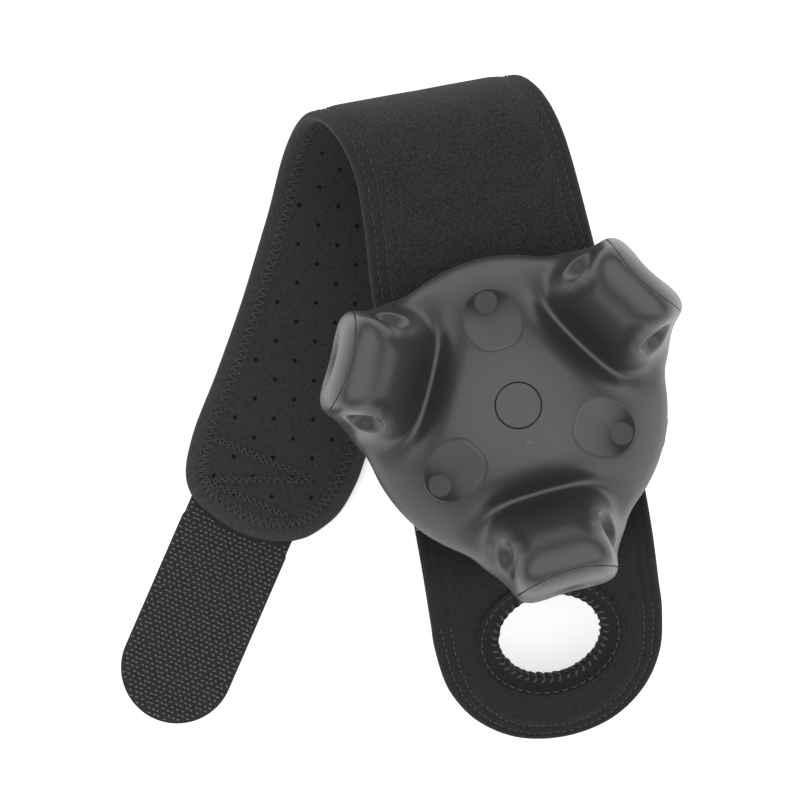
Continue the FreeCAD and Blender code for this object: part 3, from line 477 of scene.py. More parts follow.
def to_seam(p):
    """Slides points along the skin onto the seam."""
    for _ in range(4):
        p = p - seam_side(p)[:, None] * seam_direction(p)
        p = p - casing_distance(*p.T)[:, None] * casing_slope(p)
    return p


def dimple_list():
    """Each dimple: its window's middle, axis and radius, its wall's rise and its depth limit."""
    up = np.array([0.0, 0.0, 1.0])
    found = [(np.array([28.4 * math.cos(a), 28.4 * math.sin(a), 20.9]), up, 2.8, 0.900, 14.0) for a in GAPS]
    for a in ARMS:
        out = np.array([math.cos(a), math.sin(a), 0.0])
        across = np.array([-math.sin(a), math.cos(a), 0.0])
        for side in (1, -1):
            axis = across * side * math.cos(math.radians(24)) + up * math.sin(math.radians(24))
            rim = out * 37.0 + across * side * 14.2 + up * 29.5
            found.append((rim - axis * 3.2, axis, 2.0, 3.2 / 3.6, 8.0))
        axis = out * math.cos(math.radians(9)) + up * math.sin(math.radians(9))
        found.append((out * 49.8 + up * 27.5 - axis * 3.4, axis, 2.4, 3.4 / 4.4, 6.5))
    return found


def press_dimples(p):
    """Lowers points to each dimple's cone, whose height is its rise x (distance from the axis - window
    radius), from 0 up."""
    for centre, axis, radius, rise, limit in dimple_list():
        q = p - centre
        t = q @ axis
        reach = np.linalg.norm(q - t[..., None] * axis, axis=-1)
        wall = -0.05 + smooth_max(rise * (reach - radius), np.zeros(reach.shape), 0.3)
        lowered = -smooth_max(-t, -wall, 0.35)
        drop = np.where((t > -2.0) & (t < limit) & (reach < 13.0), np.maximum(t - lowered, 0), 0)
        p = p - drop[..., None] * axis
    return p


PORT_TURN = math.radians(335.0)
PORT_LEVEL = 9.2


def port_place(p):
    """Points seen from outside the charging port: sideways, upwards and outwards from the tracker's axis."""
    out, side = turned(p[..., 0], p[..., 1], -PORT_TURN)
    return side, p[..., 2] - PORT_LEVEL, out


def port_points(side, up, out):
    return np.stack([*turned(out, side, PORT_TURN), up + PORT_LEVEL], axis=-1)


def sink_port(p):
    """Sinks the round-ended slot of the charging port: 8.4 by 3.6 mm, down to 31 mm from the axis.
    Its distance is |(max(|side| - 2.4, 0), up)| - 1.8; points near 0 are first moved onto its rim."""
    side, up, out = port_place(p)
    excess = np.maximum(np.abs(side) - 2.4, 0) * np.sign(side)
    far = np.maximum(np.hypot(excess, up), 1e-6)
    gap = far - 1.8
    near = (np.abs(gap) < 0.3) & (out > 35)
    side = side - np.where(near, gap * excess / far, 0)
    up = up - np.where(near, gap * up / far, 0)
    sunk = (gap <= -0.3) & (out > 35)
    return np.where((near | sunk)[..., None], port_points(side, up, np.where(sunk, 31.0, out)), p)


def to_row(p):
    """From the tracker's own frame to the row frame, in mm."""
    p = np.asarray(p, float)
    return np.stack([*turned(p[..., 0], p[..., 1], TURN), p[..., 2]], axis=-1) + SHIFT + [0, 0, BAND_TOP]


def edge_loops(faces):
    """The edges that belong to one face only, each in its face's direction."""
    e = np.concatenate([np.stack([f, np.roll(f, -1, axis=1)], axis=-1).reshape(-1, 2) for f in faces])
    key = np.sort(e, axis=1)
    _, index, count = np.unique(key, axis=0, return_index=True, return_counts=True)
    return e[index[count == 1]]


def build_casing():
    """The tracker's two shells: the casing's grid, cut along the seam, a lip turned inwards at the cut."""
    around, along = 660, 196
    grid = casing_grid(around, along)
    p = grid.transpose(1, 0, 2).reshape(-1, 3)
    f = quads(along, around, wrap=True, flip=True)
    side = seam_side(p)
    a, b = f.ravel(), np.roll(f, -1, axis=1).ravel()
    crossing = side[a] * side[b] < 0
    snapped = np.unique(np.where(np.abs(side[a]) < np.abs(side[b]), a, b)[crossing])
    p[snapped] = to_seam(p[snapped])
    side[snapped] = 0.0
    away = np.zeros(p.shape)
    away[snapped] = seam_direction(p[snapped])
    inward = -casing_slope(p)
    corner = side[f]
    mixed = (corner.max(1) > 0) & (corner.min(1) < 0)
    odd, on = f[mixed], corner[mixed] == 0
    first = on[:, 0] & on[:, 2]
    tri = np.concatenate([odd[first][:, [0, 1, 2]], odd[first][:, [0, 2, 3]],
                          odd[~first][:, [1, 2, 3]], odd[~first][:, [1, 3, 0]]])
    pressed = sink_port(press_dimples(p))
    for name, sign, node in (("casing_upper", -1, "top_shell"), ("casing_lower", 1, "bottom_shell")):
        keep_q = f[~mixed][np.sum(side[f[~mixed]], axis=1) * sign > 0]
        keep_t = tri[np.sum(side[tri], axis=1) * sign > 0]
        used = np.unique(np.concatenate([keep_q.ravel(), keep_t.ravel()]))
        number = np.full(len(p), -1)
        number[used] = np.arange(len(used))
        keep_q, keep_t = number[keep_q], number[keep_t]
        skin = pressed[used] + sign * 0.20 * away[used]
        rim = edge_loops([keep_q, keep_t])
        at = np.unique(rim)
        row = np.full(len(used), -1)
        row[at] = np.arange(len(at))
        shoulder = pressed[used][at] + sign * 0.06 * away[used][at] + 0.22 * inward[used][at]
        inside = pressed[used][at] + sign * 0.06 * away[used][at] + 1.6 * inward[used][at]
        n, m = len(used), len(at)
        i, j = rim[:, 0], rim[:, 1]
        lips = [np.stack([j, i, n + row[i], n + row[j]], 1),
                np.stack([n + row[j], n + row[i], n + m + row[i], n + m + row[j]], 1)]
        points = to_row(np.concatenate([skin, shoulder, inside]))
        shell = make_mesh(name, points, [keep_q, keep_t, *lips], SHELL)
        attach(shell, "tracker_and_front")
        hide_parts(node)


def build_tracker_trim():
    """The button's cap, continuing the dome, and a fine rim round every window, in a grey lighter than the
    shell: a painted highlight along each window's edge.
    """
    reach = np.linspace(0.0, 5.7, 24)
    cap = [(r, dome_height(r)) for r in reach]
    cap += [(5.86, cap[-1][1] - 0.10), (5.95, cap[-1][1] - 0.32), (5.95, 30.0), (4.0, 29.0)]
    button = lathe("button_top", cap[::-1], BUTTON, to_row([0, 0, 0]), count=128)
    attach(button, "button")
    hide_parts("power_button")
    t = np.linspace(0, 2 * math.pi, 9)
    for n, (centre, axis, radius, _, _) in enumerate(dimple_list()):
        ring = [(radius + 0.05 + 0.13 * math.cos(a), 0.13 * math.sin(a)) for a in t]
        aim = to_row(axis) - to_row([0, 0, 0])
        # Each rim is a thin ring lighter than the shell: a painted highlight along the window's edge.
        rim = lathe("window_rim_%d" % (n + 1), ring, WINDOW_RIM_HIGHLIGHT, to_row(centre), aim, count=48)
        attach(rim, "tracker_and_front")


def build_port_rim():
    """A thin raised frame round the charging port, and the small lens over the status light."""
    a = np.linspace(0, 2 * math.pi, 96, endpoint=False)
    side, up = 1.85 * np.cos(a) + 2.4 * np.sign(np.cos(a)), 1.85 * np.sin(a)
    tube = np.linspace(0, 2 * math.pi, 10, endpoint=False)
    grow = 0.26 * np.cos(tube)
    side = side[:, None] + grow * np.cos(a)[:, None]
    up = up[:, None] + grow * np.sin(a)[:, None]
    skin = bisect(np.full(side.shape, 30.0), np.full(side.shape, 50.0),
                  lambda q: casing_distance(*np.moveaxis(port_points(side, up, q), -1, 0)) > 0)
    out = skin + 0.22 * np.sin(tube) - 0.04
    points = port_points(side, up, out)
    faces = quads(len(a), len(tube), wrap=True, close=True, flip=True)
    rim = make_mesh("port_rim", to_row(points), faces, SHELL)
    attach(rim, "tracker_and_front")
    level = dome_height(10.0)
    profile = [(0.9, -0.25), (0.88, 0.0), (0.6, 0.07), (0.02, 0.09)]
    lens = lathe("status_lens", profile, SLOT_LOOKS["clear_plastic"], to_row([0, -10, level]),
                 to_row([0, -10, level + SUNK]) - to_row([0, 0, 0]), 32)
    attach(lens, "tracker_and_front")


# ------------------------------------------------------------------ hand band
# Cloth is laid out flat first: across, along and height above the band's mid-surface, all in mm.
HALF_CLOTH = 2.0
LOOP = 20.0  # the fold's radius
PLACE = 68.0  # where the fold starts, ahead of the tracker's axis
LOOP_LEFT = np.array([-29.5, -31.6, -35.0, -39.0, -43.2, -47.8, -52.4])
LOOP_RIGHT = np.array([27.4, 25.3, 22.0, 18.3, 14.5, 10.4, 5.8])
FRONT_START = -26.4
FRONT_LENGTH, LOOP_LENGTH = PLACE - FRONT_START, math.pi * LOOP
TAIL_START = FRONT_LENGTH + LOOP_LENGTH


def spline(points, count):
    """A smooth curve through points, with even steps along it: a centripetal cubic, four points at a time."""
    p = np.asarray(points, float)
    p = np.concatenate([[2 * p[0] - p[1]], p, [2 * p[-1] - p[-2]]])
    knots = np.concatenate([[0], np.cumsum(np.linalg.norm(np.diff(p, axis=0), axis=1) ** 0.5)])
    out = []
    for n in range(1, len(p) - 2):
        t = np.linspace(knots[n], knots[n + 1], 24, endpoint=False)[:, None]
        k = knots[n - 1:n + 3]
        between = lambda i, j, before, after: ((k[j] - t) * before + (t - k[i]) * after) / (k[j] - k[i])
        a = [between(i, i + 1, p[n - 1 + i], p[n + i]) for i in range(3)]
        b = [between(i, i + 2, a[i], a[i + 1]) for i in range(2)]
        out.append(between(1, 2, b[0], b[1]))
    return even(np.concatenate(out + [p[-2:-1]]), count)


def lengths(path):
    """How far along a path each of its points is."""
    return np.concatenate([[0], np.cumsum(np.linalg.norm(np.diff(path, axis=0), axis=1))])


def pick(path, s, at):
    """Points of a path at lengths at, where its own points are at lengths s."""
    return np.stack([np.interp(at, s, path[:, k]) for k in range(path.shape[1])], axis=-1)


def even(path, count):
    """The same path with its points spread evenly."""
    s = lengths(path)
    return pick(path, s, np.linspace(0, s[-1], count))


def band_outline():
    """The flat band's left edge and right edge: front panel, loop, tail and the tail's rounded end.
    Along is 0 at the front panel's hidden end, and grows round the loop to the tail."""
    left = [(-31, 0), (-31, 27), (-31, 54), (-30.7, 66), (-29.7, 80)]
    right = [(31, 0), (31, 13), (31, 26), (30.6, 46), (29.4, 70)]
    stations = FRONT_LENGTH + LOOP_LENGTH * np.linspace(0, 1, 7)
    left += list(zip(LOOP_LEFT, stations))
    right += list(zip(LOOP_RIGHT, stations))
    tail_left = [(-57, 58.8), (-64.6, 44), (-74.9, 26), (-84.6, 10), (-88.2, 0), (-87.4, -6.2), (-83.2, -12),
                 (-76.2, -18.4), (-67.2, -22.4), (-62.6, -23.0)]
    tail_right = [(-13, 38), (-27.5, 14.5), (-38, -2.2), (-43.2, -11), (-49.6, -18.2), (-58, -22.4),
                  (-62.6, -23.0)]
    left += [(x, TAIL_START + PLACE - y) for x, y in tail_left]
    right += [(x, TAIL_START + PLACE - y) for x, y in tail_right]
    return spline(left, 900), spline(right, 900)


def lay_band(q):
    """Bends flat band points (across, along, height) into the row frame: level over the front panel, round a
    half circle in the loop, and level again in the tail."""
    across, along, height = np.moveaxis(np.asarray(q, float), -1, 0)
    a = np.clip((along - FRONT_LENGTH) / LOOP, 0, math.pi)
    beyond = np.maximum(along - TAIL_START, 0)
    before = np.minimum(along - FRONT_LENGTH, 0)
    y = PLACE + (LOOP + height) * np.sin(a) + before - beyond
    z = 22.0 + (LOOP + height) * np.cos(a)
    return np.stack([across, y, z], axis=-1) + SHIFT


THUMB_HOLE = -20.8
BEND = 25.0
SLOPE = math.radians(38.0)


def lay_thumb(q):
    """Bends flat thumb panel points round an arc and down a straight slope. Along is 0 where the slope
    starts, and negative down it."""
    across, along, height = np.moveaxis(np.asarray(q, float), -1, 0)
    a = np.clip(SLOPE - along / BEND, 0, SLOPE)
    down = np.minimum(along, 0)
    level = np.maximum(along - SLOPE * BEND, 0)
    y = -28.0 - (BEND + height) * np.sin(a) + down * math.cos(SLOPE) + level
    z = 42.0 - BEND + (BEND + height) * np.cos(a) + down * math.sin(SLOPE)
    return np.stack([across, y, z], axis=-1) + SHIFT


def thumb_outline():
    """The thumb panel's closed flat outline, clockwise from its hidden straight end."""
    shoulder, half, length = THUMB_HOLE + 2.0, 31.0, 57.0
    top = SLOPE * BEND + 27.95 + FRONT_START
    a = np.pi * np.arange(1, 8) / 8
    side = np.sign(np.cos(a)) * np.abs(np.cos(a)) ** 0.94
    arch = np.stack([-half * side, shoulder - (length + shoulder) * np.sin(a) ** 0.94], axis=-1)
    points = np.concatenate([[(-half, shoulder + 8), (-half, shoulder)], arch,
                             [(half, shoulder), (half, shoulder + 8)]])
    return np.concatenate([[(-half, top)], spline(points, 500), [(half, top)]]), top


def distance_to(points, path):
    """The shortest distance from each flat point to a path."""
    out = np.empty(len(points))
    for n in range(0, len(points), 4000):
        d = points[n:n + 4000, None, :] - path[None, :, :]
        out[n:n + 4000] = np.sqrt(np.min(np.sum(d * d, axis=2), axis=1))
    return out


def rolled(x):
    """A quarter circle: 0 at 0, and 1 from 1 on."""
    return np.sqrt(np.clip(1 - (1 - np.clip(x, 0, 1)) ** 2, 0, 1))


def ridge(x, at, width):
    """A rounded ridge, 1 high at at and nearly gone two widths away."""
    return np.exp(-(((x - at) / width) ** 2))


def half_thickness(edge, outer):
    """The cloth's height above its mid-surface at a distance from its edge: half its thickness, less a pinch
    and two sewn grooves near the edge, times a rolled rim."""
    pinch = 0.55 * (1 - smooth_step((edge - (4.2 if outer else 3.0)) / 3.2))
    groove = sum(0.26 * ridge(edge, line, 0.55) for line in ((2.6, 5.0) if outer else (3.4, 5.6)))
    return (HALF_CLOTH - pinch - groove) * rolled(edge / 1.5)


def soft_wave(flat, size, height):
    """Slow, shallow unevenness of a soft laminate: a sum of crossed sine waves."""
    a, b = flat[..., 0] / size, flat[..., 1] / size
    broad = np.sin(a * 1.7 + 1.3 * np.sin(b * 0.9)) * np.sin(b * 1.3 + 0.8)
    return height * (broad + 0.5 * np.sin(a * 3.1 + b * 2.3))


def spread(width, rim, step):
    """Shares from 0 to 1 across a strip, close together within rim mm of each side."""
    near = [0, 0.1, 0.28, 0.55, 0.9, 1.3, 1.8, 2.3, 2.7, 3.1, 3.6, 4.1, 4.6, 5.0, 5.4, 5.9, 6.5, 7.2]
    near = np.array([n for n in near if n <= rim])
    middle = np.linspace(near[-1], width - near[-1], int((width - 2 * near[-1]) / step) + 2)[1:-1]
    return np.concatenate([near, middle, width - near[::-1]]) / width


def build_band():
    """The band's two skins: rows across the flat outline, each point raised by the cloth's height at its
    distance from the edge, then bent round the loop."""
    left, right = band_outline()
    outline = np.concatenate([left, right[::-1]])
    end = min(left[-1][1], right[-1][1])
    tail = end - 26.0
    rows = np.concatenate([np.arange(0, tail, 0.85), tail + 26.0 * np.sin(np.linspace(0, math.pi / 2, 40))])
    rows[-1] = end - 1e-4
    lx, rx = np.interp(rows, left[:, 1], left[:, 0]), np.interp(rows, right[:, 1], right[:, 0])
    share = spread(62.0, 7.3, 1.0)
    across = lx[:, None] + (rx - lx)[:, None] * share
    flat = np.stack([across, np.repeat(rows[:, None], len(share), axis=1)], axis=-1)
    edge = distance_to(flat.reshape(-1, 2), outline).reshape(flat.shape[:2])
    edge[:, 0] = edge[:, -1] = edge[-1] = 0.0
    for name, sign, look, slot, nodes in (
        ("band_outer", 1, PILE_CLOTH, "loop_pile", ("front_cover", "loop_cover", "tail_cover")),
        ("band_lining", -1, LINING_CLOTH, "lining_fabric",
         ("front_lining", "loop_lining", "tail_lining", "front_foam", "loop_foam", "tail_foam")),
    ):
        height = half_thickness(edge, sign > 0)
        height = height + smooth_step((edge - 3) / 8) * soft_wave(flat, 11.0, 0.10) * sign
        height = np.minimum(height, HALF_CLOTH)
        if sign < 0:
            corner = zigzag_flat()
            seam = np.concatenate([even(np.stack([a, b]), 60) for a, b in zip(corner[:-1], corner[1:])])
            apart = distance_to(flat.reshape(-1, 2), seam).reshape(edge.shape)
            height = height - 0.34 * ridge(apart, 0, 0.9)
        faces = quads(len(rows), len(share), flip=sign > 0)
        piece = make_mesh(name, lay_band(at_height(flat, sign * height)), faces, look, flat, {"edge": edge})
        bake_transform(piece)
        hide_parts(*nodes)
    return left, right


def build_thumb():
    """The thumb panel's two skins: rays from the hole's wavy rim to the outline, raised like the band's cloth
    and rounded at the hole, then bent down over the thumb."""
    outline, top = thumb_outline()
    closed = np.concatenate([outline, outline[:1]])
    centre = np.array([0.0, THUMB_HOLE])
    ring = even(closed, 541)[:-1]
    corners = np.array([[-31.0, top], [31.0, top]])
    for c in corners:
        ring[np.argmin(np.sum((ring - c) ** 2, axis=1))] = c
    direction = ring - centre
    far = np.linalg.norm(direction, axis=1)
    unit = direction / far[:, None]
    turn = np.unwrap(np.arctan2(unit[:, 1], unit[:, 0]))
    rim = 13.9 + 0.12 * np.sin(turn * 38)
    steps = spread(40.0, 7.3, 1.0)
    reach = rim[:, None] + (far - rim)[:, None] * steps
    flat = centre + unit[:, None, :] * reach[..., None]
    sides = distance_to(flat.reshape(-1, 2), even(outline, 1200)).reshape(reach.shape)
    sides[:, -1] = 0.0
    cut = top - flat[..., 1]
    hole = reach - rim[:, None]
    for name, sign, look, slot, nodes in (
        # The outer skin takes the darker copy of the loop pile: painted shade.
        ("thumb_outer", 1, THUMB_CLOTH_PAINTED_SHADE, "loop_pile", ("thumb_cover",)),
        ("thumb_lining", -1, LINING_CLOTH, "lining_fabric", ("thumb_lining", "thumb_foam")),
    ):
        at_hole = (1.0 + smooth_step((hole - 2) / 5)) * rolled(hole)
        height = np.minimum(half_thickness(sides, sign > 0), at_hole)
        height = np.where((sides[:, -1:] < 1) & (cut < 0.01), 0.0, height)
        points = lay_thumb(at_height(flat, sign * height))
        faces = quads(len(ring), len(steps), close=True, flip=sign > 0)
        piece = make_mesh(name + "_skin", points, faces, look, flat, {"edge": sides})
        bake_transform(piece)
        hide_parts(*nodes)


# ------------------------------------------------------------------ sewing, ring, tab and hooks
def tubes(centre, radius, sides, up):
    """Many short tubes at once: centre holds m points along each of n, radius one value for each of the m,
    and up is a direction that none of them runs along. A flat face closes each end."""
    n, m = centre.shape[:2]
    along = np.gradient(centre, axis=1)
    along /= np.maximum(np.linalg.norm(along, axis=2, keepdims=True), 1e-9)
    side = np.cross(along, up)
    side /= np.maximum(np.linalg.norm(side, axis=2, keepdims=True), 1e-9)
    other = np.cross(along, side)
    a = np.arange(sides) * 2 * math.pi / sides
    ring = np.cos(a)[:, None] * side[:, :, None] + np.sin(a)[:, None] * other[:, :, None]
    points = centre[:, :, None] + np.broadcast_to(radius, (n, m))[..., None, None] * ring
    base = (np.arange(n) * m * sides)[:, None, None]
    body = (base + quads(m, sides, wrap=True, flip=True)).reshape(-1, 4)
    first = base[:, 0] + np.arange(sides)[::-1][None, :]
    last = base[:, 0] + (m - 1) * sides + np.arange(sides)[None, :]
    return points.reshape(-1, 3), [body, np.concatenate([first, last])]


def stitches(start, end, radius=0.24, rise=0.22, sign=1.0):
    """Threads between flat points: each lies on the cloth in the middle and dips into it at both ends."""
    u = np.linspace(-1, 1, 7)
    centre = start[:, None] + (end - start)[:, None] * ((u + 1) / 2)[:, None]
    centre[..., 2] += sign * (rise - 0.55 * u**4)
    return tubes(centre, radius * (1 - 0.55 * u**4), 6, np.array([0.0, 0.0, 1.0]))


def inset(path, by):
    """A path moved sideways, to the right of its direction when by is above 0."""
    t = np.gradient(path, axis=0)
    t /= np.linalg.norm(t, axis=1, keepdims=True)
    return path + by * np.stack([t[:, 1], -t[:, 0]], axis=-1)


def at_height(flat, height):
    """Flat points with a height above the cloth's mid-surface."""
    return np.concatenate([flat, np.broadcast_to(height, flat.shape[:-1])[..., None]], axis=-1)


def merge(parts):
    """Several (points, faces) made into one."""
    points, faces, count = [], [], 0
    for p, fs in parts:
        points.append(p)
        faces += [f + count for f in fs]
        count += len(p)
    return np.concatenate(points), faces


def track(path, near, far, outer, pitch=2.2, crossed=True):
    """A seam: two stitched rows at distances near and far from the edge, a zigzag thread between them."""
    sign = 1.0 if outer else -1.0
    s = lengths(path)
    t = np.arange(1.0, s[-1] - 2 * pitch, pitch)
    parts = []
    for by in (near, far):
        row = inset(path, by)
        height = sign * float(half_thickness(np.array(abs(by)), outer))
        wobble = chance.normal(0, 0.10, (len(t), 2))
        a, b = pick(row, s, t) + wobble, pick(row, s, t + pitch * 0.70) + wobble
        parts.append(stitches(at_height(a, height), at_height(b, height), radius=0.22, sign=sign))
    if crossed:
        inner, outer_row = inset(path, near), inset(path, far)
        height = sign * (float(half_thickness(np.array(abs(near + far) / 2), outer)) - 0.12)
        points = pick(inner, s, t), pick(outer_row, s, t + pitch / 2), pick(inner, s, t + pitch)
        for a, b in zip(points[:-1], points[1:]):
            a, b = at_height(a, height), at_height(b, height)
            parts.append(stitches(a, b, radius=0.27, rise=0.24, sign=sign))
    return parts


def sew(name, parts, lay, **travel):
    """Threads laid on the bent cloth, bent into place by the same lay as the cloth."""
    points, faces = merge(parts)
    piece = make_mesh(name, lay(points), faces, THREAD)
    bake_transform(piece)
    return piece


BAND_BEND = {"b": "tail", "start": (0, 0.068, 0.0412), "end": (0, 0.068, 0.0028)}
THUMB_BEND = {"b": "thumb_flap", "start": (0, -0.0264, 0.042), "end": (0, -0.031, 0.042)}
ZIGZAG = np.array([(-79.4, 8.7), (-53.5, -7.9), (-84.1, -2.1), (-60.7, -17.6)])


def zigzag_flat():
    """The zigzag seam's corners on the flat band."""
    return np.stack([ZIGZAG[:, 0], TAIL_START + PLACE - ZIGZAG[:, 1]], axis=-1)


def build_sewing(left, right):
    """Stitched seams along the band's and the thumb panel's edges, and the zigzag that holds the hook tab."""
    whole = even(np.concatenate([left[left[:, 1] > 3.0], right[::-1][1:][right[::-1][1:, 1] > 3.0]]), 2400)
    sew("band_outer_sewing", track(whole, 2.7, 5.2, True, crossed=False), lay_band, **BAND_BEND)
    lining = track(whole, 3.5, 6.0, False)
    corner = zigzag_flat()
    for a, b in zip(corner[:-1], corner[1:]):
        lining += track(inset(even(np.stack([a, b]), 60), 8.0), -8.7, -7.3, False, pitch=1.9)
    sew("band_lining_sewing", lining, lay_band, **BAND_BEND)
    edge = even(thumb_outline()[0][1:-1], 1500)
    sew("thumb_outer_sewing", track(edge, -2.7, -5.2, True, crossed=False), lay_thumb, **THUMB_BEND)
    sew("thumb_lining_sewing", track(edge, -3.5, -6.0, False), lay_thumb, **THUMB_BEND)


def round_hole(reach, turn):
    """Flat points round the thumb hole's middle."""
    return np.stack([reach * np.cos(turn), reach * np.sin(turn) + THUMB_HOLE], axis=-1)


def build_ring():
    """The round patch on the thumb panel, a grid of rings from the hole to its edge, and the thread whipped
    over the edge of the hole: a coil of 41 turns round the hole's rim."""
    turn = np.linspace(0, 2 * math.pi, 420, endpoint=False)
    edge = 20.3 + 0.10 * np.sin(turn * 47) + 0.08 * np.sin(turn * 31 + 1)
    hole = 14.0 + 0.12 * np.sin(turn * 38)
    share = np.array([0, 0.02, 0.06, 0.12, 0.2, 0.3, 0.42, 0.54, 0.64, 0.70, 0.74, 0.78, 0.84, 0.9, 0.95,
                      0.98, 1.0])
    reach = hole[:, None] + (edge - hole)[:, None] * share
    lift = 0.62 * np.sqrt(np.clip((1 - share) / 0.06, 0, 1)) - 0.16 * ridge(share, 0.74, 0.05)
    cloth = 1.0 + smooth_step((reach - hole[:, None] - 2) / 5)
    flat = round_hole(reach, turn[:, None])
    top = at_height(flat, cloth - 0.02 + lift)
    under = at_height(flat, cloth - 0.28)[:, ::-1]
    loop = np.concatenate([top, under], axis=1)
    faces = quads(len(turn), loop.shape[1], wrap=True, close=True)
    ring = make_mesh("thumb_ring_patch", lay_thumb(loop), faces, RING_CLOTH, loop[..., :2])
    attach(ring, "thumb_flap")
    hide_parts("thumb_ring")
    a = np.arange(46) * 2 * math.pi / 46
    parts = [stitches(*(at_height(round_hole(18.6, a + shift), 2.25) for shift in (0, 0.085)))]
    turns = 41
    t = np.linspace(0, 2 * math.pi, turns * 18 + 1)[:-1]
    jitter = 1 + 0.10 * np.sin(t * 7.3) + 0.10 * np.sin(t * 17 + 2)
    wrap = t * turns
    reach = 15.1 - 1.2 * jitter * np.cos(wrap) * np.abs(np.cos(wrap)) ** 0.2
    height = 0.28 + 1.42 * np.sin(wrap) * np.abs(np.sin(wrap)) ** 0.3 * (0.96 + 0.04 * jitter)
    spin = t + 0.035 * np.sin(wrap * 2)
    coil = at_height(round_hole(reach, spin), height)
    coil = np.concatenate([coil, coil[:1]])[None]
    parts.append(tubes(coil, np.full(coil.shape[1], 0.40), 6, np.array([0.3, 0.2, 1.0])))
    points, faces = merge(parts)
    edging = make_mesh("thumb_hole_edging", lay_thumb(points), faces, THREAD)
    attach(edging, "thumb_flap")


TAB_AT = np.array([-74.8, -13.6])
TAB_TURN = math.radians(33.9)


def lay_tab(q):
    """Puts tab points (across, along the tab, height) on the ground beside the tail, into the row frame."""
    across, along, height = np.moveaxis(np.asarray(q, float), -1, 0)
    c, s = math.cos(TAB_TURN), math.sin(TAB_TURN)
    x, y = TAB_AT[0] + across * c - along * s, TAB_AT[1] - across * s - along * c
    return np.stack([x, y, height], axis=-1) + SHIFT


def inside_of(points, outline):
    """Whether each flat point lies inside a closed outline: an odd number of sides cross the line to its
    right."""
    a, b = outline, np.roll(outline, -1, axis=0)
    x, y = points[:, None, 0], points[:, None, 1]
    spans = (a[None, :, 1] > y) != (b[None, :, 1] > y)
    run = np.where(b[:, 1] == a[:, 1], 1e-9, b[:, 1] - a[:, 1])
    crossing = a[None, :, 0] + (y - a[None, :, 1]) * (b[:, 0] - a[:, 0])[None] / run[None]
    return np.sum(spans & (x < crossing), axis=1) % 2 == 1


def build_tab(outline):
    """The tab's woven tape, sewn into the tail and free beyond it, and the field of small hooks on it."""
    half, straight = 15.3, 45.0
    rounded = straight + half * np.sin(np.linspace(0, math.pi / 2, 34))
    rows = np.concatenate([np.arange(-17.0, straight, 0.8), rounded])
    wide = np.where(rows > straight, np.sqrt(np.clip(half**2 - (rows - straight) ** 2, 1e-6, None)), half)
    wide = wide + np.where(rows < 6, -0.3, 0.0)
    share = np.concatenate([[-1, -0.99, -0.965], np.linspace(-0.92, 0.92, 36), [0.965, 0.99, 1]])
    flat = np.stack([wide[:, None] * share, np.repeat(rows[:, None], len(share), axis=1)], axis=-1)
    gap = np.minimum(wide[:, None] * (1 - np.abs(share)), half + straight - rows[:, None])
    rim = rolled(gap / 0.6)
    weave = 0.05 * np.sin(rows[:, None] * 2.4) * np.ones(share.shape)
    up = 0.5 + rim * np.where(rows[:, None] > 7, 0.48 + weave, 0.42)
    down = 0.5 - rim * np.where(rows[:, None] > 7, 0.48, 0.42)
    loop = np.concatenate([at_height(flat, up), at_height(flat, down)[:, ::-1]], axis=1)
    width = loop.shape[1]
    n = np.arange(width // 2 - 1)
    end = []
    for r in (0, len(rows) - 1):
        b = r * width
        f = np.stack([b + n, b + width - 1 - n, b + width - 2 - n, b + n + 1], axis=-1)
        end.append(f if r else f[:, ::-1])
    faces = [quads(len(rows), width, wrap=True), *end]
    tape = make_mesh("tab_tape", lay_tab(loop), faces, TAPE, loop[..., :2])
    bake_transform(tape)
    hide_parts("tab_anchor", "tab_base", "tab_hooks")
    u, v = np.meshgrid(np.arange(-11, 12), np.arange(0, 52), indexing="ij")
    x, y = ((u + 0.5 * (v % 2)) * 1.5).ravel(), (-4.0 + v * 1.24).ravel()
    field = half - 0.8
    reach = np.where(y > straight, np.sqrt(np.clip(field**2 - (y - straight) ** 2, 0, None)), field)
    root = np.stack([x, y, np.full(len(x), 0.95)], axis=-1)
    plan = (lay_tab(root) - SHIFT)[:, :2]
    tail = np.stack([outline[:, 0], TAIL_START + PLACE - outline[:, 1]], axis=-1)
    tail = tail[outline[:, 1] > TAIL_START]
    keep = (np.abs(x) < reach) & ~inside_of(plan, tail) & (distance_to(plan, tail) > 0.7)
    root = root[keep]
    root[:, :2] += chance.normal(0, 0.05, (len(root), 2))
    t = np.linspace(0, 1, 7)
    bend = np.clip((t - 0.45) / 0.55, 0, 1) * math.radians(200)
    rise = np.minimum(t / 0.45, 1) * 0.34 + 0.24 * np.sin(np.minimum(bend, math.pi)) * (bend > 0)
    rise = rise - np.where(bend > math.pi, 0.08, 0.0)
    lean = 0.27 * (1 - np.cos(bend))
    aim = math.pi / 2 + chance.normal(0, 0.2, len(root))
    aim = aim + np.where(chance.random(len(root)) > 0.5, 0, math.pi)
    direction = np.stack([np.sin(aim), np.cos(aim), np.zeros(len(root))], axis=-1)
    centre = root[:, None] + direction[:, None] * lean[:, None] + np.array([0, 0, 1.0]) * rise[:, None]
    sideways = np.stack([np.cos(aim), -np.sin(aim), np.zeros(len(root))], axis=-1)[:, None]
    thickness = np.array([0.28, 0.24, 0.22, 0.21, 0.20, 0.18, 0.12])
    up = np.cross(sideways, [0, 0, 1.0]) * 0.01 + sideways
    points, faces = tubes(centre, thickness, 5, up)
    hooks = make_mesh("tab_hook_field", lay_tab(points), faces, HOOK)
    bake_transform(hooks)


CREST_LINE = spline(CREST, 600)
CREST_SLOPE = np.gradient(CREST_LINE[:, 1], CREST_LINE[:, 0])

build_casing()
build_tracker_trim()
build_port_rim()
left, right = build_band()
build_sewing(left, right)
build_thumb()
build_ring()
build_tab(np.concatenate([left, right[::-1]]))


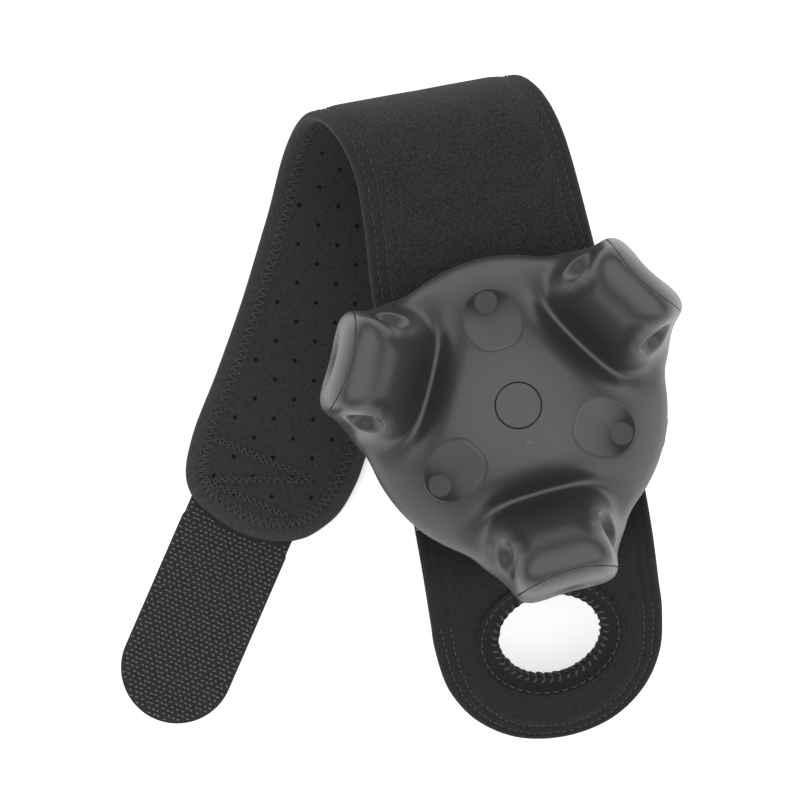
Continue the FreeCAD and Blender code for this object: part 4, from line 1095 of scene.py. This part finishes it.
# ------------------------------------------------------------------ carried-over parts
def dress_cad():
    """Gives every part kept from the frame the finish that its slot names."""
    slots = {s["node"]: s["material_slot"] for s in frame["record"]["subparts"]}
    cloth = {"tab_webbing": TAPE, "hook_tape": HOOK, "ring_fabric": RING_CLOTH, "loop_pile": PILE_CLOTH,
             "foam_black": SLOT_LOOKS["pad_rubber"], "lining_fabric": LINING_CLOTH}
    for name, thing in NODES.items():
        look = SLOT_LOOKS.get(slots[name]) or cloth[slots[name]]
        thing.data.materials.clear()
        thing.data.materials.append(look)


dress_cad()


# ------------------------------------------------------------------ floor, light and camera
def build_stage():
    """The floor, the soft lights and the camera."""
    made, tree, shader = material("pale_floor")
    put(tree, shader.inputs,
        {"Base Color": (0.93, 0.93, 0.93, 1), "Emission Color": (1, 1, 1, 1), "Emission Strength": 0.5,
         "Roughness": 0.9, "Specular IOR Level": 0.1})
    corners = [(x, y, -0.05) for x, y in ((-3000, -3000), (3000, -3000), (3000, 3000), (-3000, 3000))]
    floor = make_mesh("floor", corners, np.array([[0, 1, 2, 3]]), made, smooth=False)
    world = bpy.data.worlds.new("studio")
    world.use_nodes = True
    world.node_tree.nodes["Background"].inputs["Color"].default_value = (1, 1, 1, 1)
    world.node_tree.nodes["Background"].inputs["Strength"].default_value = 0.36
    bpy.context.scene.world = world
    around = [n * math.pi / 3 for n in range(6)]
    low_cards = [
        ("low_card_%d" % (n + 1), "RECTANGLE", (1.1 * math.cos(a), 1.1 * math.sin(a), 0.17), 1.2, 1.2)
        for n, a in enumerate(around)
    ]
    for name, shape, place, size, power in (
        ("key_light", "DISK", (0.0, 0.05, 1.50), 3.0, 30.0),
        ("side_light", "DISK", (0.9, -0.9, 0.9), 1.2, 3.0),
        *low_cards,
    ):
        lamp = bpy.data.lights.new(name, "AREA")
        lamp.shape = shape
        lamp.size = size
        lamp.size_y = 0.26
        lamp.energy = power
        thing = bpy.data.objects.new(name, lamp)
        thing.location = place
        aim = Vector((0.02, 0.0, 0.05)) - Vector(place)
        thing.rotation_euler = aim.to_track_quat("-Z", "Y").to_euler()
        bpy.context.scene.collection.objects.link(thing)
    camera = bpy.data.cameras.new("camera")
    camera.lens = 225.0
    camera.clip_end = 20.0
    eye = bpy.data.objects.new("camera", camera)
    bpy.context.scene.collection.objects.link(eye)
    target = Vector((0.0039, 0.0071, 0.064))
    sight = Vector((math.tan(math.radians(2.0)), math.tan(math.radians(2.0)), -1.0)).normalized()
    up = Vector((math.sin(math.radians(10.5)), math.cos(math.radians(10.5)), 0.0))
    right = sight.cross(up).normalized()
    up = right.cross(sight)
    eye.location = target - sight * 1.3
    eye.rotation_mode = "QUATERNION"
    eye.rotation_quaternion = Matrix((right, up, -sight)).transposed().to_quaternion()
    bpy.context.scene.camera = eye
    bpy.context.scene.view_settings.view_transform = "Standard"


build_stage()
